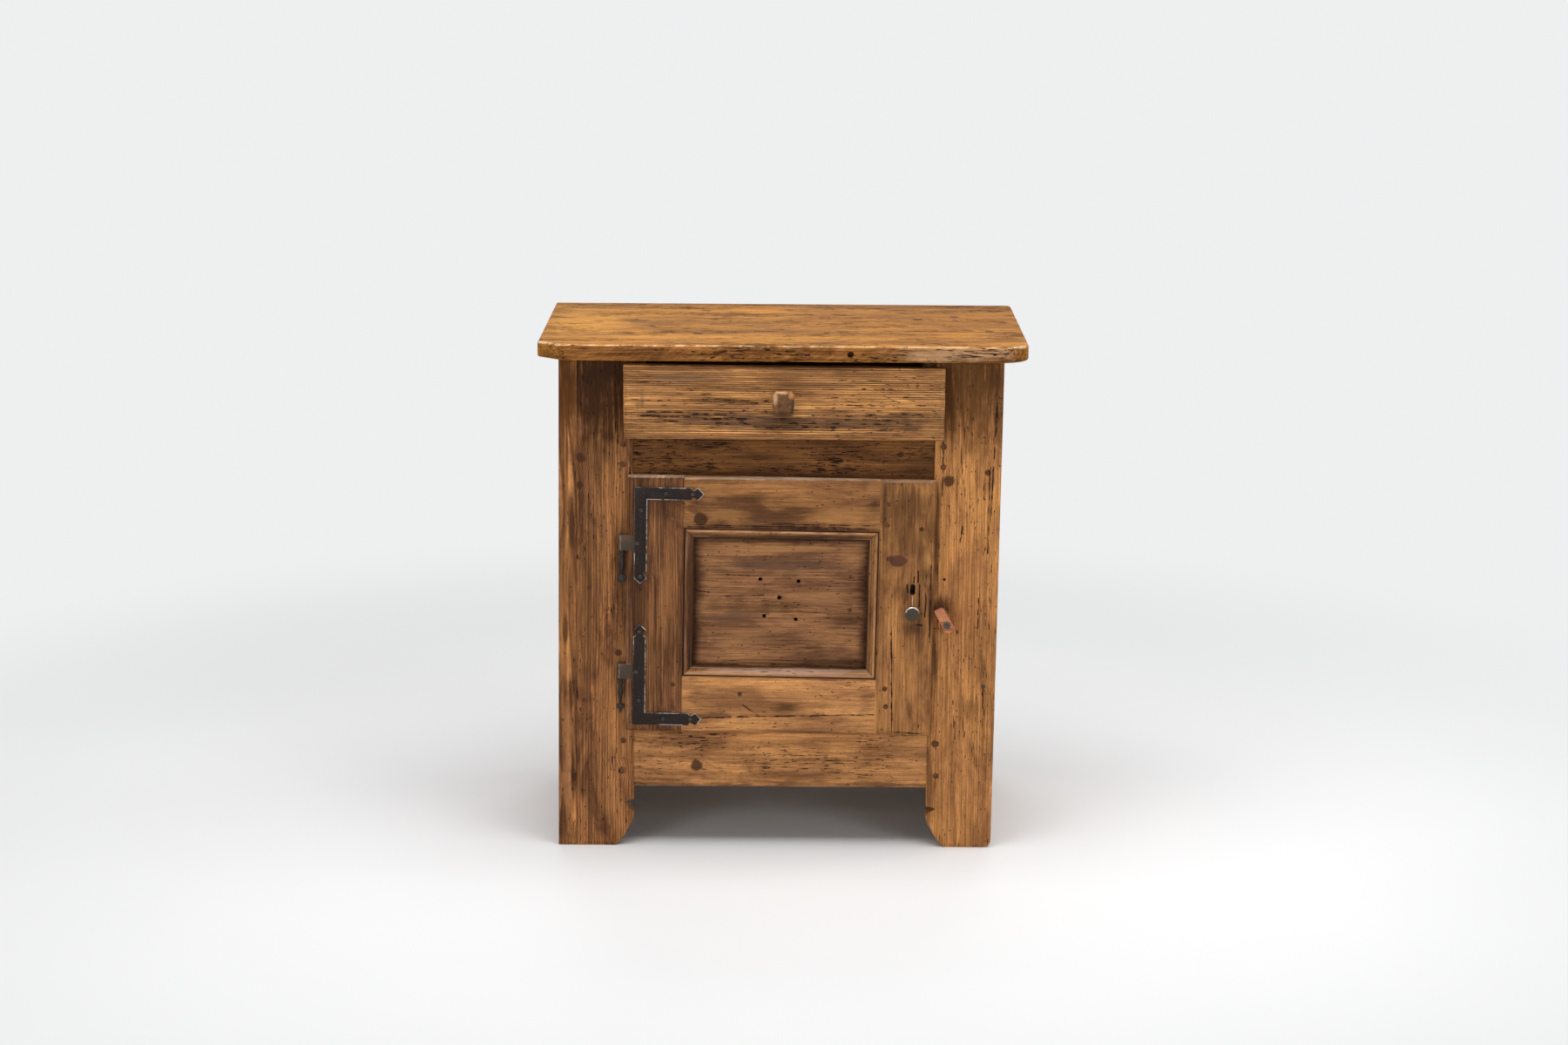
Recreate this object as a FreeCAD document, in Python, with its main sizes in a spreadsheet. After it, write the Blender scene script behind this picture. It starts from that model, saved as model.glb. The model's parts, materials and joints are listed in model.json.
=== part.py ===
"""Rustic pine storage cabinet: one overlay drawer above one lipped frame-and-panel door.

The cabinet stands on its own feet with the floor at z = 0, +Z up and its front facing -Y.
The carcass is not quite square: both sides lean, and the door hangs a little out of true on
two rat-tail hinges. Lengths are in millimetres, angles in degrees.
"""

import FreeCAD, Part
import math
import os

import Sketcher
from FreeCAD import Placement, Rotation, Vector

SIZES = {
    # Top board
    "top_width": 745.0,
    "top_depth": 450.0,
    "top_thickness": 24.0,
    "top_overhang": 22.0,
    "top_back_overhang": 8.0,
    "top_cut_across": 40.0,
    "top_cut_back": 36.0,
    "top_cut_softening": 14.0,
    "top_corner_round": 46.0,
    "top_back_round": 9.0,
    "top_arris": 5.0,
    "top_under_arris": 2.5,
    "top_nick_inset": 65.0,
    "top_nick_width": 34.0,
    "top_nick_depth": 4.5,
    "edge_hole_place": 101.7,
    "edge_hole_drop": 12.5,
    "edge_hole_diameter": 10.0,
    "edge_hole_depth": 13.0,
    "edge_screw_diameter": 4.4,
    "edge_screw_head": 7.0,
    "edge_screw_head_length": 2.5,
    "edge_screw_length": 30.0,
    # Carcass
    "body_height": 768.0,
    "left_reach_top": 339.5,
    "left_reach_foot": 344.8,
    "right_reach_top": 335.2,
    "right_reach_foot": 328.7,
    "side_thickness": 27.5,
    "side_foot_round": 12.0,
    "stile_thickness": 28.0,
    "stile_arris": 1.6,
    "rail_recess": 3.0,
    "apron_recess": 2.0,
    "tenon_length": 26.0,
    "tenon_thickness": 9.0,
    "tenon_shoulder": 12.0,
    "peg_diameter": 9.0,
    "peg_length": 24.0,
    "peg_proud": 0.5,
    # Feet
    "notch_bite": 13.5,
    "notch_opening": 3.0,
    "notch_lift": 3.2,
    "foot_lobe_flat": 6.0,
    "foot_toe": 29.5,
    "foot_lobe_radius": 17.0,
    "foot_curve_radius": 70.0,
    "foot_curve_inset": 8.0,
    # Back, floor and drawer carriage
    "back_thickness": 14.0,
    "back_rebate": 12.0,
    "back_low": 40.0,
    "back_board_width": 205.0,
    "back_lap": 10.0,
    "floor_thickness": 18.0,
    "floor_housing": 8.0,
    "runner_thickness": 18.0,
    "runner_housing": 6.0,
    "runner_reach": 18.0,
    "runner_tongue": 8.0,
    "runner_tongue_inset": 3.0,
    "guide_width": 18.0,
    "guide_height": 30.0,
    "kicker_thickness": 22.0,
    "rear_rail_height": 42.0,
    "rear_rail_thickness": 22.0,
    "kicker_screw_diameter": 5.0,
    "kicker_screw_head": 9.0,
    "kicker_screw_head_length": 3.0,
    "kicker_screw_bite": 13.0,
    "kicker_screw_margin": 70.0,
    # Drawer
    "lip_gap": 0.4,
    "drawer_proud": 18.0,
    "drawer_tongue": 10.0,
    "drawer_cover_left": 13.3,
    "drawer_cover_right": 13.4,
    "drawer_cover_low": 11.8,
    "drawer_gap_left": 6.1,
    "drawer_gap_right": 9.6,
    "drawer_arris": 2.2,
    "drawer_clear": 3.0,
    "drawer_lift": 0.3,
    "drawer_head_room": 26.0,
    "drawer_side_thickness": 12.0,
    "drawer_back_gap": 14.0,
    "drawer_back_inset": 6.0,
    "drawer_bottom_thickness": 8.0,
    "drawer_bottom_lift": 6.0,
    "drawer_groove": 5.0,
    "drawer_back_drop": 8.0,
    "dovetail_length": 15.0,
    "knob_place_x": 0.9,
    "knob_width": 32.3,
    "knob_height": 33.8,
    "knob_neck": 16.0,
    "knob_neck_length": 9.0,
    "knob_reach": 24.0,
    "knob_corner": 7.0,
    "knob_face_round": 4.5,
    "knob_chip_width": 8.5,
    "knob_chip_height": 11.0,
    "knob_chip_depth": 7.0,
    "knob_shank": 12.0,
    # Door
    "door_offset": 4.4,
    "door_width": 470.6,
    "door_height": 402.0,
    "door_sag": 0.75,
    "door_cover_left": 12.2,
    "door_cover_right": 4.7,
    "door_cover_low": 9.3,
    "door_cover_top": 12.7,
    "door_lip": 12.0,
    "door_inner": 14.0,
    "door_lap_left": 14.5,
    "door_lap_right": 7.4,
    "door_lap_top": 16.0,
    "door_lap_low": 17.5,
    "door_arris": 5.5,
    "door_stile_width": 86.4,
    "door_top_rail": 80.2,
    "door_low_rail": 88.7,
    "moulding_width": 16.2,
    "moulding_quirk": 1.5,
    "moulding_quirk_depth": 1.2,
    "moulding_bead": 4.0,
    "moulding_ovolo_drop": 3.2,
    "moulding_ovolo_radius": 13.0,
    "moulding_fillet": 2.8,
    "moulding_fillet_step": 0.9,
    "panel_thickness": 8.0,
    "panel_front": 0.8,
    "panel_groove": 8.0,
    "panel_clear": 1.0,
    "door_tenon_length": 56.0,
    "door_tenon_inset": 3.6,
    "door_tenon_low_end": 22.0,
    "door_tenon_top_end": 22.0,
    "door_peg_diameter": 8.0,
    "door_peg_length": 23.0,
    "vent_width": 5.2,
    "keyhole_inset": 33.0,
    "keyhole_width": 8.0,
    "keyhole_height": 18.0,
    "patch_inset": 66.3,
    "patch_lift": 36.3,
    "patch_width": 25.6,
    "patch_height": 17.4,
    "patch_depth": 4.0,
    # Door iron
    "iron_thickness": 2.5,
    "strap_width": 19.2,
    "strap_edge": 10.8,
    "strap_top_inset": 17.4,
    "strap_lower_edge": 10.8,
    "strap_reach": 116.5,
    "spear_length": 18.0,
    "spear_notch_width": 4.6,
    "spear_notch_depth": 4.4,
    "spear_shoulder": 9.0,
    "strap_nail_diameter": 3.0,
    "strap_nail_head": 6.2,
    "strap_nail_head_height": 1.2,
    "strap_nail_length": 17.0,
    "hinge_axis": 8.6,
    "knuckle_radius": 4.6,
    "pin_radius": 2.6,
    "pin_clear": 0.05,
    "pin_top": 2.0,
    "leaf_upper_drop": 116.8,
    "leaf_lower_low": 82.6,
    "leaf_height": 23.4,
    "leaf_reach": 26.0,
    "leaf_corner": 4.0,
    "curl_slit": 0.8,
    "knuckle_gap": 0.3,
    "collar_radius": 4.9,
    "collar_band": 2.4,
    "collar_neck_radius": 3.7,
    "collar_neck": 3.6,
    "shank_radius": 3.4,
    "shank_length": 15.0,
    "swell_radius": 4.0,
    "swell_depth": 5.0,
    "waist_radius": 1.9,
    "waist_drop": 12.0,
    "tail_drop": 21.0,
    "foot_disc_radius": 6.5,
    "foot_disc_thickness": 3.0,
    "lower_foot_radius": 5.2,
    "lower_foot_point": 11.5,
    "spike_radius": 2.2,
    "spike_length": 22.0,
    "pintle_nail_diameter": 3.2,
    "pintle_nail_head": 5.6,
    "pintle_nail_head_height": 1.4,
    "pintle_nail_length": 16.0,
    # Pull, lock and turn button
    "pull_inset": 32.9,
    "pull_drop": 35.8,
    "pull_radius": 11.4,
    "pull_thickness": 4.2,
    "pull_stand": 8.0,
    "pull_neck_radius": 3.6,
    "pull_rose_radius": 6.4,
    "pull_rose_height": 2.2,
    "pull_shank_radius": 2.6,
    "pull_shank_length": 22.0,
    "lock_plate_width": 72.0,
    "lock_plate_height": 78.0,
    "lock_plate_thickness": 2.0,
    "lock_plate_edge": 2.2,
    "lock_case_width": 56.0,
    "lock_case_height": 66.0,
    "lock_case_depth": 22.0,
    "lock_wall": 2.0,
    "lock_slot_clear": 0.35,
    "bolt_height": 16.0,
    "bolt_thickness": 5.4,
    "bolt_behind": 1.0,
    "bolt_length": 58.0,
    "bolt_rise": 12.0,
    "bolt_notch_width": 12.0,
    "bolt_notch_depth": 5.0,
    "lock_screw_diameter": 3.6,
    "lock_screw_head": 7.0,
    "lock_screw_head_height": 1.6,
    "lock_screw_length": 10.0,
    "lock_screw_margin": 4.5,
    "button_gap": 20.6,
    "button_angle": 62.0,
    "button_nose": 27.4,
    "button_tail": 12.6,
    "button_half_width": 7.6,
    "button_nose_cut": 4.0,
    "button_tail_cut": 4.5,
    "button_cover": 8.4,
    "button_hub": 16.5,
    "button_clear": 0.3,
    "button_face_clear": 0.6,
    "button_notch_width": 2.6,
    "button_notch_depth": 0.9,
    "button_screw_diameter": 5.0,
    "button_screw_head": 11.0,
    "button_screw_head_height": 2.6,
    "button_screw_bite": 22.0,
    "button_screw_slot": 1.3,
    "button_screw_slot_depth": 1.2,
    "stile_hole_inset": 19.7,
    "stile_hole_diameter": 4.2,
    "stile_hole_depth": 14.0,
    "stile_nail_inset": 18.5,
    "stile_nail_diameter": 3.6,
    "stile_nail_head": 6.4,
    "stile_nail_head_height": 1.2,
    "stile_nail_length": 30.0,
    "overrun": 1.0,
    "fastener_clear": 0.05,
}

# Levels of the apron and the drawer's space, as shares of the height that the door leaves over.
APRON_LOW_SHARE = 0.2623
APRON_HIGH_SHARE = 0.5410
DRAWER_SPACE_SHARE = 0.2951

# Levels on the shaped feet, as shares of the height under the apron.
LEFT_NOTCH_SHARE = 0.775
RIGHT_NOTCH_SHARE = 0.693
FOOT_LOBE_SHARE = 0.558
FOOT_CURVE_SHARE = 0.3125

# Places up the carcass, the drawer front and the door, as shares of their own heights.
STILE_HOLE_SHARE = 0.5578
STILE_NAIL_SHARE = 0.3382
KNOB_SHARE = 0.528
KEYHOLE_SHARE = 0.5769
BUTTON_SHARE = 0.4303
UPPER_STRAP_SHARE = 0.3761
LOWER_STRAP_SHARE = 0.3963

# The dovetails' middles and widths, as shares of the drawer side's height.
DOVETAIL_MIDDLE_SHARES = (0.268, 0.780)
DOVETAIL_NARROW_SHARE = 0.195
DOVETAIL_WIDE_SHARE = 0.268

# Pegs in the carcass: how far out along the tenon, and how far up it within the peg's own radius.
LEFT_PEG_SHARES = ((0.55, "rail", 0.232), (0.55, "rail", 0.851), (0.62, "apron", 0.130), (0.62, "apron", 0.825))
RIGHT_PEG_SHARES = ((0.53, "rail", 0.199), (0.53, "rail", 0.835), (0.56, "apron", 0.042), (0.52, "apron", 0.796))

# Pegs on the door: how far out along the tenon, and how far up the rail.
DOOR_PEG_SHARES = (
    ("left", "top", 0.30, 0.19),
    ("left", "top", 0.30, 0.62),
    ("left", "low", 0.25, 0.85),
    ("left", "low", 0.26, 0.43),
    ("right", "top", 0.24, 0.53),
    ("right", "top", 0.21, 0.13),
    ("right", "low", 0.26, 0.84),
    ("right", "low", 0.30, 0.52),
)

# Vent holes on the panel, as shares of the width and height inside the moulding.
VENT_SHARES = ((0.382, 0.680), (0.603, 0.668), (0.494, 0.537), (0.408, 0.391), (0.592, 0.367))

# Nails through the straps: along the flat leg, and up the tall leg.
STRAP_FLAT_NAIL_SHARES = (0.45, 0.84)
STRAP_TALL_NAIL_SHARES = (0.24, 0.925)
HALF_SHARE = 0.5
NOTCH_SHARES = (0.16, 0.27, 0.38, 0.49, 0.60)


class Size:
    """A length known both as a number and as an expression on the sheet."""

    def __init__(self, value, text):
        self.value = float(value)
        self.text = text

    def _join(self, other, sign, value):
        return Size(value, f"({self.text} {sign} {as_size(other).text})")

    def __add__(self, other):
        return self._join(other, "+", self.value + as_size(other).value)

    def __radd__(self, other):
        return as_size(other) + self

    def __sub__(self, other):
        return self._join(other, "-", self.value - as_size(other).value)

    def __rsub__(self, other):
        return as_size(other) - self

    def __mul__(self, other):
        return self._join(other, "*", self.value * as_size(other).value)

    def __rmul__(self, other):
        return as_size(other) * self

    def __truediv__(self, other):
        return self._join(other, "/", self.value / as_size(other).value)

    def __neg__(self):
        return Size(-self.value, f"(-1 * {self.text})")


def as_size(item):
    """A plain number, such as zero or a share, as a Size."""
    return item if isinstance(item, Size) else Size(item, repr(float(item)))


def cosine(angle):
    return Size(math.cos(math.radians(angle.value)), f"cos({angle.text})")


def sine(angle):
    return Size(math.sin(math.radians(angle.value)), f"sin({angle.text})")


class Sheet:
    """The spreadsheet with one aliased cell for each driving dimension."""

    def __init__(self, doc, sizes):
        self.cells = doc.addObject("Spreadsheet::Sheet", "Sizes")
        self.rows = 0
        for name, value in sizes.items():
            self.write(name, str(value), value)

    def write(self, name, content, value):
        """Fills the next row and gives its cell an alias."""
        self.rows += 1
        self.cells.set(f"A{self.rows}", name)
        self.cells.set(f"B{self.rows}", content)
        self.cells.setAlias(f"B{self.rows}", name)
        setattr(self, name, Size(value, f"Sizes.{name}"))

    def work_out(self, name, size):
        """Adds a size whose cell holds a formula of the others."""
        self.write(name, "=" + size.text.replace("Sizes.", ""), size.value)


doc = FreeCAD.newDocument("cabinet")
d = Sheet(doc, SIZES)
doc.recompute()
ZERO = as_size(0)
PARTS = []

# Where each sketch plane's own axes lie: which way its normal runs along the third axis.
NORMAL_SIGN = {"XY": 1, "XZ": -1, "YZ": 1}


def origin_plane(body, plane):
    """The body's own origin plane with this name."""
    return next(f for f in body.Origin.OriginFeatures if f.Role == f"{plane}_Plane")


def new_sketch(body, plane, at, shift=(ZERO, ZERO)):
    """An empty sketch at this place along the plane's normal axis, its origin shifted in the plane."""
    sketch = body.newObject("Sketcher::SketchObject", f"{body.Label}_sketch")
    sketch.AttachmentSupport = (origin_plane(body, plane), [""])
    sketch.MapMode = "FlatFace"
    height = as_size(at) * NORMAL_SIGN[plane]
    sketch.AttachmentOffset = Placement(Vector(shift[0].value, shift[1].value, height.value), Rotation())
    for axis, size in (("x", shift[0]), ("y", shift[1]), ("z", height)):
        sketch.setExpression(f"AttachmentOffset.Base.{axis}", size.text)
    return sketch


def pin_point(sketch, curve, end, x, y):
    """Holds one point of a curve at this place with the sheet's sizes."""
    for kind, size, axis in (("DistanceX", x, -2), ("DistanceY", y, -1)):
        if abs(size.value) < 1e-9:
            sketch.addConstraint(Sketcher.Constraint("PointOnObject", curve, end, axis))
        else:
            index = sketch.addConstraint(Sketcher.Constraint(kind, -1, 1, curve, end, size.value))
            sketch.setExpression(f"Constraints[{index}]", size.text)


def arc_middle(start, end, radius, side):
    """The middle point of the short arc between two points, its centre on the left (1) or right (-1)."""
    chord = end - start
    half = chord.Length / 2
    rise = radius - math.sqrt(max(radius * radius - half * half, 0.0))
    across = Vector(chord.y, -chord.x, 0).normalize() * side
    return (start + end) / 2 + across * rise


def draw(sketch, path):
    """Draws one closed outline: corners (x, y), or (x, y, radius, side) where an arc leads to that corner."""
    corners = [(as_size(item[0]), as_size(item[1])) for item in path]
    spots = [Vector(x.value, y.value, 0) for x, y in corners]
    curves = []
    for index, item in enumerate(path):
        start, end = spots[index - 1], spots[index]
        if len(item) == 2:
            curve = sketch.addGeometry(Part.LineSegment(start, end), False)
            curves.append((curve, 1, 2))
        else:
            middle = arc_middle(start, end, item[2].value, item[3])
            curve = sketch.addGeometry(Part.Arc(start, middle, end), False)
            curves.append((curve, 1, 2) if item[3] > 0 else (curve, 2, 1))
            radius = sketch.addConstraint(Sketcher.Constraint("Radius", curve, item[2].value))
            sketch.setExpression(f"Constraints[{radius}]", item[2].text)
    for index, (curve, _, end) in enumerate(curves):
        following, start, _ = curves[(index + 1) % len(curves)]
        sketch.addConstraint(Sketcher.Constraint("Coincident", curve, end, following, start))
        pin_point(sketch, curve, end, *corners[index])


def draw_circle(sketch, x, y, radius):
    """Draws one circle of this radius."""
    x, y = as_size(x), as_size(y)
    curve = sketch.addGeometry(Part.Circle(Vector(x.value, y.value, 0), Vector(0, 0, 1), radius.value), False)
    pin_point(sketch, curve, 3, x, y)
    index = sketch.addConstraint(Sketcher.Constraint("Radius", curve, radius.value))
    sketch.setExpression(f"Constraints[{index}]", radius.text)


def box_path(x0, y0, x1, y1):
    """A plain rectangle as an outline."""
    return [(x0, y0), (x1, y0), (x1, y1), (x0, y1)]


def new_body(label, group=False):
    """An empty sub-part. A group holds several like solids."""
    body = doc.addObject("PartDesign::Body", label)
    body.Label = label
    body.AllowCompound = group
    PARTS.append(body)
    return body


def extrude(body, kind, plane, low, high, outlines, shift=(ZERO, ZERO)):
    """Adds or cuts the outlines between two places on the axis that the sketch plane faces."""
    low, high = as_size(low), as_size(high)
    forward = (NORMAL_SIGN[plane] > 0) == (kind == "PartDesign::Pad")
    sketch = new_sketch(body, plane, low if forward else high, shift)
    for outline in outlines:
        if isinstance(outline, tuple):
            draw_circle(sketch, *outline)
        else:
            draw(sketch, outline)
    feature = body.newObject(kind, f"{body.Label}_feature")
    feature.Profile = sketch
    length = high - low
    feature.Length = length.value
    feature.setExpression("Length", length.text)
    doc.recompute()
    return feature


def add(body, plane, low, high, *outlines, shift=(ZERO, ZERO)):
    """Adds material."""
    return extrude(body, "PartDesign::Pad", plane, low, high, outlines, shift)


def cut(body, plane, low, high, *outlines, shift=(ZERO, ZERO)):
    """Cuts material away, and makes sure that some of it went."""
    before = body.Shape.Volume
    feature = extrude(body, "PartDesign::Pocket", plane, low, high, outlines, shift)
    if body.Shape.Volume > before - 1e-3:
        raise RuntimeError(f"a cut in {body.Label} removed nothing")
    return feature


def turn(body, plane, at, path, shift, axis="V_Axis"):
    """Turns a half outline about one of the sketch's own axes."""
    sketch = new_sketch(body, plane, at, shift)
    draw(sketch, path)
    feature = body.newObject("PartDesign::Revolution", f"{body.Label}_turned")
    feature.Profile = sketch
    feature.ReferenceAxis = (sketch, [axis])
    doc.recompute()
    return feature


def edges_where(shape, test):
    """Names of the edges whose two end points and middle pass the test."""
    names = []
    for index, edge in enumerate(shape.Edges, start=1):
        middle = edge.valueAt((edge.FirstParameter + edge.LastParameter) / 2)
        if test([v.Point for v in edge.Vertexes] + [middle]):
            names.append(f"Edge{index}")
    return names


def soften(body, radius, test, kind="PartDesign::Fillet"):
    """Rounds the edges that pass the test."""
    base = body.Tip
    names = edges_where(base.Shape, test)
    if not names:
        raise RuntimeError(f"no edge to round in {body.Label}")
    feature = body.newObject(kind, f"{body.Label}_softened")
    feature.Base = (base, names)
    name = "Radius" if kind == "PartDesign::Fillet" else "Size"
    setattr(feature, name, radius.value)
    feature.setExpression(name, radius.text)
    doc.recompute()
    return feature


def near(value, size):
    """Whether a coordinate is at this size."""
    return abs(value - as_size(size).value) < 1e-4


def place(body, x, y, z, angle=None):
    """Gives the sub-part its Placement, turned about +Y where an angle is given."""
    turned = angle.value if angle else 0.0
    body.Placement = Placement(Vector(as_size(x).value, y.value, as_size(z).value), Rotation(Vector(0, 1, 0), turned))
    for axis, size in (("x", x), ("y", y), ("z", z)):
        body.setExpression(f"Placement.Base.{axis}", as_size(size).text)
    if angle:
        body.setExpression("Placement.Rotation.Angle", f"{angle.text} * 1 deg")


# Places worked out from the sheet.
front_reach = d.lip_gap + d.drawer_proud + d.knob_reach
back_reach = d.top_depth - d.top_overhang
face_y = (front_reach - back_reach) / 2
side_back = back_reach - d.top_back_overhang
back_front = side_back - d.back_thickness
d.work_out("drawer_side_end", back_front - d.drawer_back_gap)
d.work_out("top_nick_place", d.top_width / 2 - d.top_nick_inset)
d.work_out("spare_height", d.body_height - d.door_height)
d.work_out("apron_low", d.spare_height * APRON_LOW_SHARE)
d.work_out("apron_high", d.spare_height * APRON_HIGH_SHARE)
d.work_out("rail_high", d.body_height - d.spare_height * DRAWER_SPACE_SHARE)
d.work_out("door_low", d.apron_high - d.door_cover_low)
d.work_out("rail_low", d.door_low + d.door_height - d.door_cover_top)
d.work_out("door_left", d.door_width / 2 + d.door_offset)
d.work_out("door_right", d.door_width / 2 - d.door_offset)
d.work_out("opening_left", d.door_left - d.door_cover_left)
d.work_out("right_stile_width", d.right_reach_foot - (d.door_right - d.door_cover_right))
opening_left = -d.opening_left


def leaning(foot, top, z):
    """The place across of a leaning edge at this height."""
    return foot + (top - foot) * as_size(z) / d.body_height


def left_outer(z):
    return -leaning(d.left_reach_foot, d.left_reach_top, z)


def left_inner(z):
    return left_outer(z) + d.side_thickness


def right_outer(z):
    return leaning(d.right_reach_foot, d.right_reach_top, z)


def right_inner(z):
    return right_outer(z) - d.side_thickness


def opening_right(z):
    return right_outer(z) - d.right_stile_width


d.work_out("left_notch_height", d.apron_low * LEFT_NOTCH_SHARE)
d.work_out("right_notch_height", d.apron_low * RIGHT_NOTCH_SHARE)
d.work_out("foot_lobe_height", d.apron_low * FOOT_LOBE_SHARE)
d.work_out("foot_curve_height", d.apron_low * FOOT_CURVE_SHARE)
d.work_out("drawer_left", d.opening_left + d.drawer_cover_left)
d.work_out("drawer_right", opening_right(d.rail_high) + d.drawer_cover_right)
d.work_out("drawer_low", d.rail_high - d.drawer_cover_low)
d.work_out("drawer_high_left", d.body_height - d.drawer_gap_left)
d.work_out("drawer_high_right", d.body_height - d.drawer_gap_right)
d.work_out("drawer_side_height", d.body_height - d.rail_high - d.drawer_head_room)
d.work_out("knob_place_z", d.drawer_low + (d.drawer_high_left - d.drawer_low) * KNOB_SHARE)
d.work_out("keyhole_x", d.door_width - d.keyhole_inset)
d.work_out("keyhole_z", d.door_height * KEYHOLE_SHARE)
d.work_out("pull_x", d.door_width - d.pull_inset)
d.work_out("pull_z", d.keyhole_z - d.pull_drop)
d.work_out("patch_x", d.door_width - d.patch_inset)
d.work_out("patch_z", d.keyhole_z + d.patch_lift)
d.work_out("strap_upper_edge", d.door_height - d.strap_top_inset)
d.work_out("strap_upper_tip", d.strap_upper_edge - d.door_height * UPPER_STRAP_SHARE)
d.work_out("strap_lower_tip", d.strap_lower_edge + d.door_height * LOWER_STRAP_SHARE)
d.work_out("leaf_upper_low", d.door_height - d.leaf_upper_drop)
d.work_out("stile_hole_z", d.body_height * STILE_HOLE_SHARE)
d.work_out("stile_hole_x", opening_right(d.stile_hole_z) + d.stile_hole_inset)
d.work_out("stile_nail_z", d.body_height * STILE_NAIL_SHARE)
d.work_out("stile_nail_x", right_outer(d.stile_nail_z) - d.stile_nail_inset)
d.work_out("button_rise", d.door_height * BUTTON_SHARE)
d.work_out("button_z", d.door_low + d.button_rise)
door_edge = cosine(d.door_sag) * d.door_width + sine(d.door_sag) * d.button_rise - d.door_left
d.work_out("button_x", door_edge + d.button_gap)
doc.recompute()


def carcass(body):
    place(body, ZERO, face_y, ZERO)
    return body


def leaning_path(left, right, low, high):
    """A four-sided outline between two leaning or upright edges."""
    return [(left(low), low), (right(low), low), (right(high), high), (left(high), high)]


def upright(x):
    """An edge that stands plumb, in the form of a leaning one."""
    return lambda z: x


def moved(edge, by):
    """A leaning edge moved sideways."""
    return lambda z: edge(z) + by


def peg_places(shares, edge, outwards):
    """Peg places over the tenons of the drawer rail and the apron, with the peg's radius."""
    levels = {"rail": (d.rail_low, d.rail_high), "apron": (d.apron_low, d.apron_high)}
    places = []
    for along, name, up in shares:
        low, high = levels[name]
        margin = d.tenon_shoulder + d.peg_diameter / 2
        z = low + margin + (high - low - margin * 2) * up
        places.append((edge(z) + d.tenon_length * along * outwards, z))
    return places


LEFT_PEGS = peg_places(LEFT_PEG_SHARES, upright(opening_left), -1)
RIGHT_PEGS = peg_places(RIGHT_PEG_SHARES, opening_right, 1)


def circles(places, diameter, clear=ZERO):
    """Circles of one diameter at these places."""
    return [(x, z, diameter / 2 + clear) for x, z in places]


def door_point(x, z):
    """A place on the carcass face, from a place on the sagging door's own face."""
    across = cosine(d.door_sag) * x + sine(d.door_sag) * z - d.door_left
    up = cosine(d.door_sag) * z - sine(d.door_sag) * x + d.door_low
    return across, up


def foot_path(edge, side, notch):
    """The shaped inner edge of a foot, from its notch down to the toe.

    side is 1 where the opening lies to the right of the stile and -1 where it lies to the left.
    """
    inner = edge(notch)

    def at(inset, z, *arc):
        return (inner - inset * side, z, *arc)

    tip_high = notch - d.notch_lift
    tip_low = tip_high - d.notch_opening
    return [
        at(ZERO, notch),
        at(d.notch_bite, tip_high),
        at(d.notch_bite, tip_low),
        at(ZERO, d.foot_lobe_height),
        at(ZERO, d.foot_lobe_height - d.foot_lobe_flat),
        at(d.foot_curve_inset, d.foot_curve_height, d.foot_lobe_radius * 2, -side),
        at(d.foot_toe, ZERO, d.foot_curve_radius, -side),
    ]


def make_top_board():
    body = new_body("top_board")
    low, high = d.body_height, d.body_height + d.top_thickness
    half = d.top_width / 2
    front = -d.top_overhang
    nick_left = d.top_nick_place - d.top_nick_width / 2
    nick_right = d.top_nick_place + d.top_nick_width / 2
    outline = [
        (-half, front + d.top_cut_back),
        (-half + d.top_cut_across, front),
        (half, front),
        (half, back_reach),
        (-half, back_reach),
    ]
    add(body, "XY", low, high, outline)
    corners = (
        (d.top_corner_round, half, front),
        (d.top_back_round, half, back_reach),
        (d.top_cut_softening, -half, front + d.top_cut_back),
        (d.top_cut_softening, -half + d.top_cut_across, front),
    )
    for radius, x, y in corners:
        soften(body, radius, lambda spots: all(near(p.x, x) and near(p.y, y) for p in spots))
    soften(body, d.top_arris, lambda spots: all(near(p.z, high) for p in spots))
    soften(body, d.top_under_arris, lambda spots: all(near(p.z, low) for p in spots))
    nick = [
        (nick_left, back_reach + d.overrun),
        (nick_left + d.top_nick_width / 4, back_reach - d.top_nick_depth / 2),
        (nick_right - d.top_nick_width / 4, back_reach - d.top_nick_depth),
        (nick_right, back_reach + d.overrun),
    ]
    cut(body, "XY", low - d.overrun, high + d.overrun, nick)
    hole_z = high - d.edge_hole_drop
    hole_end = front + d.edge_hole_depth
    cut(body, "XZ", front - d.overrun, hole_end, (d.edge_hole_place, hole_z, d.edge_hole_diameter / 2))
    screw_end = hole_end - d.edge_screw_head_length + d.edge_screw_length
    screw_hole = d.edge_screw_diameter / 2 + d.fastener_clear
    cut(body, "XZ", hole_end - d.overrun, screw_end, (d.edge_hole_place, hole_z, screw_hole))
    screw_places = circles(kicker_screw_places(), d.kicker_screw_diameter, d.fastener_clear)
    cut(body, "XY", low - d.overrun, low + d.kicker_screw_bite, *screw_places)
    return carcass(body)


def make_edge_screw():
    """The screw sunk in the front edge of the top board."""
    body = new_body("edge_screw")
    start = d.edge_hole_depth - d.top_overhang - d.edge_screw_head_length
    hole_z = d.body_height + d.top_thickness - d.edge_hole_drop
    add(body, "XZ", start, start + d.edge_screw_head_length, (d.edge_hole_place, hole_z, d.edge_screw_head / 2))
    shank_start = start + d.edge_screw_head_length / 2
    add(body, "XZ", shank_start, start + d.edge_screw_length, (d.edge_hole_place, hole_z, d.edge_screw_diameter / 2))
    return carcass(body)


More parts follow.
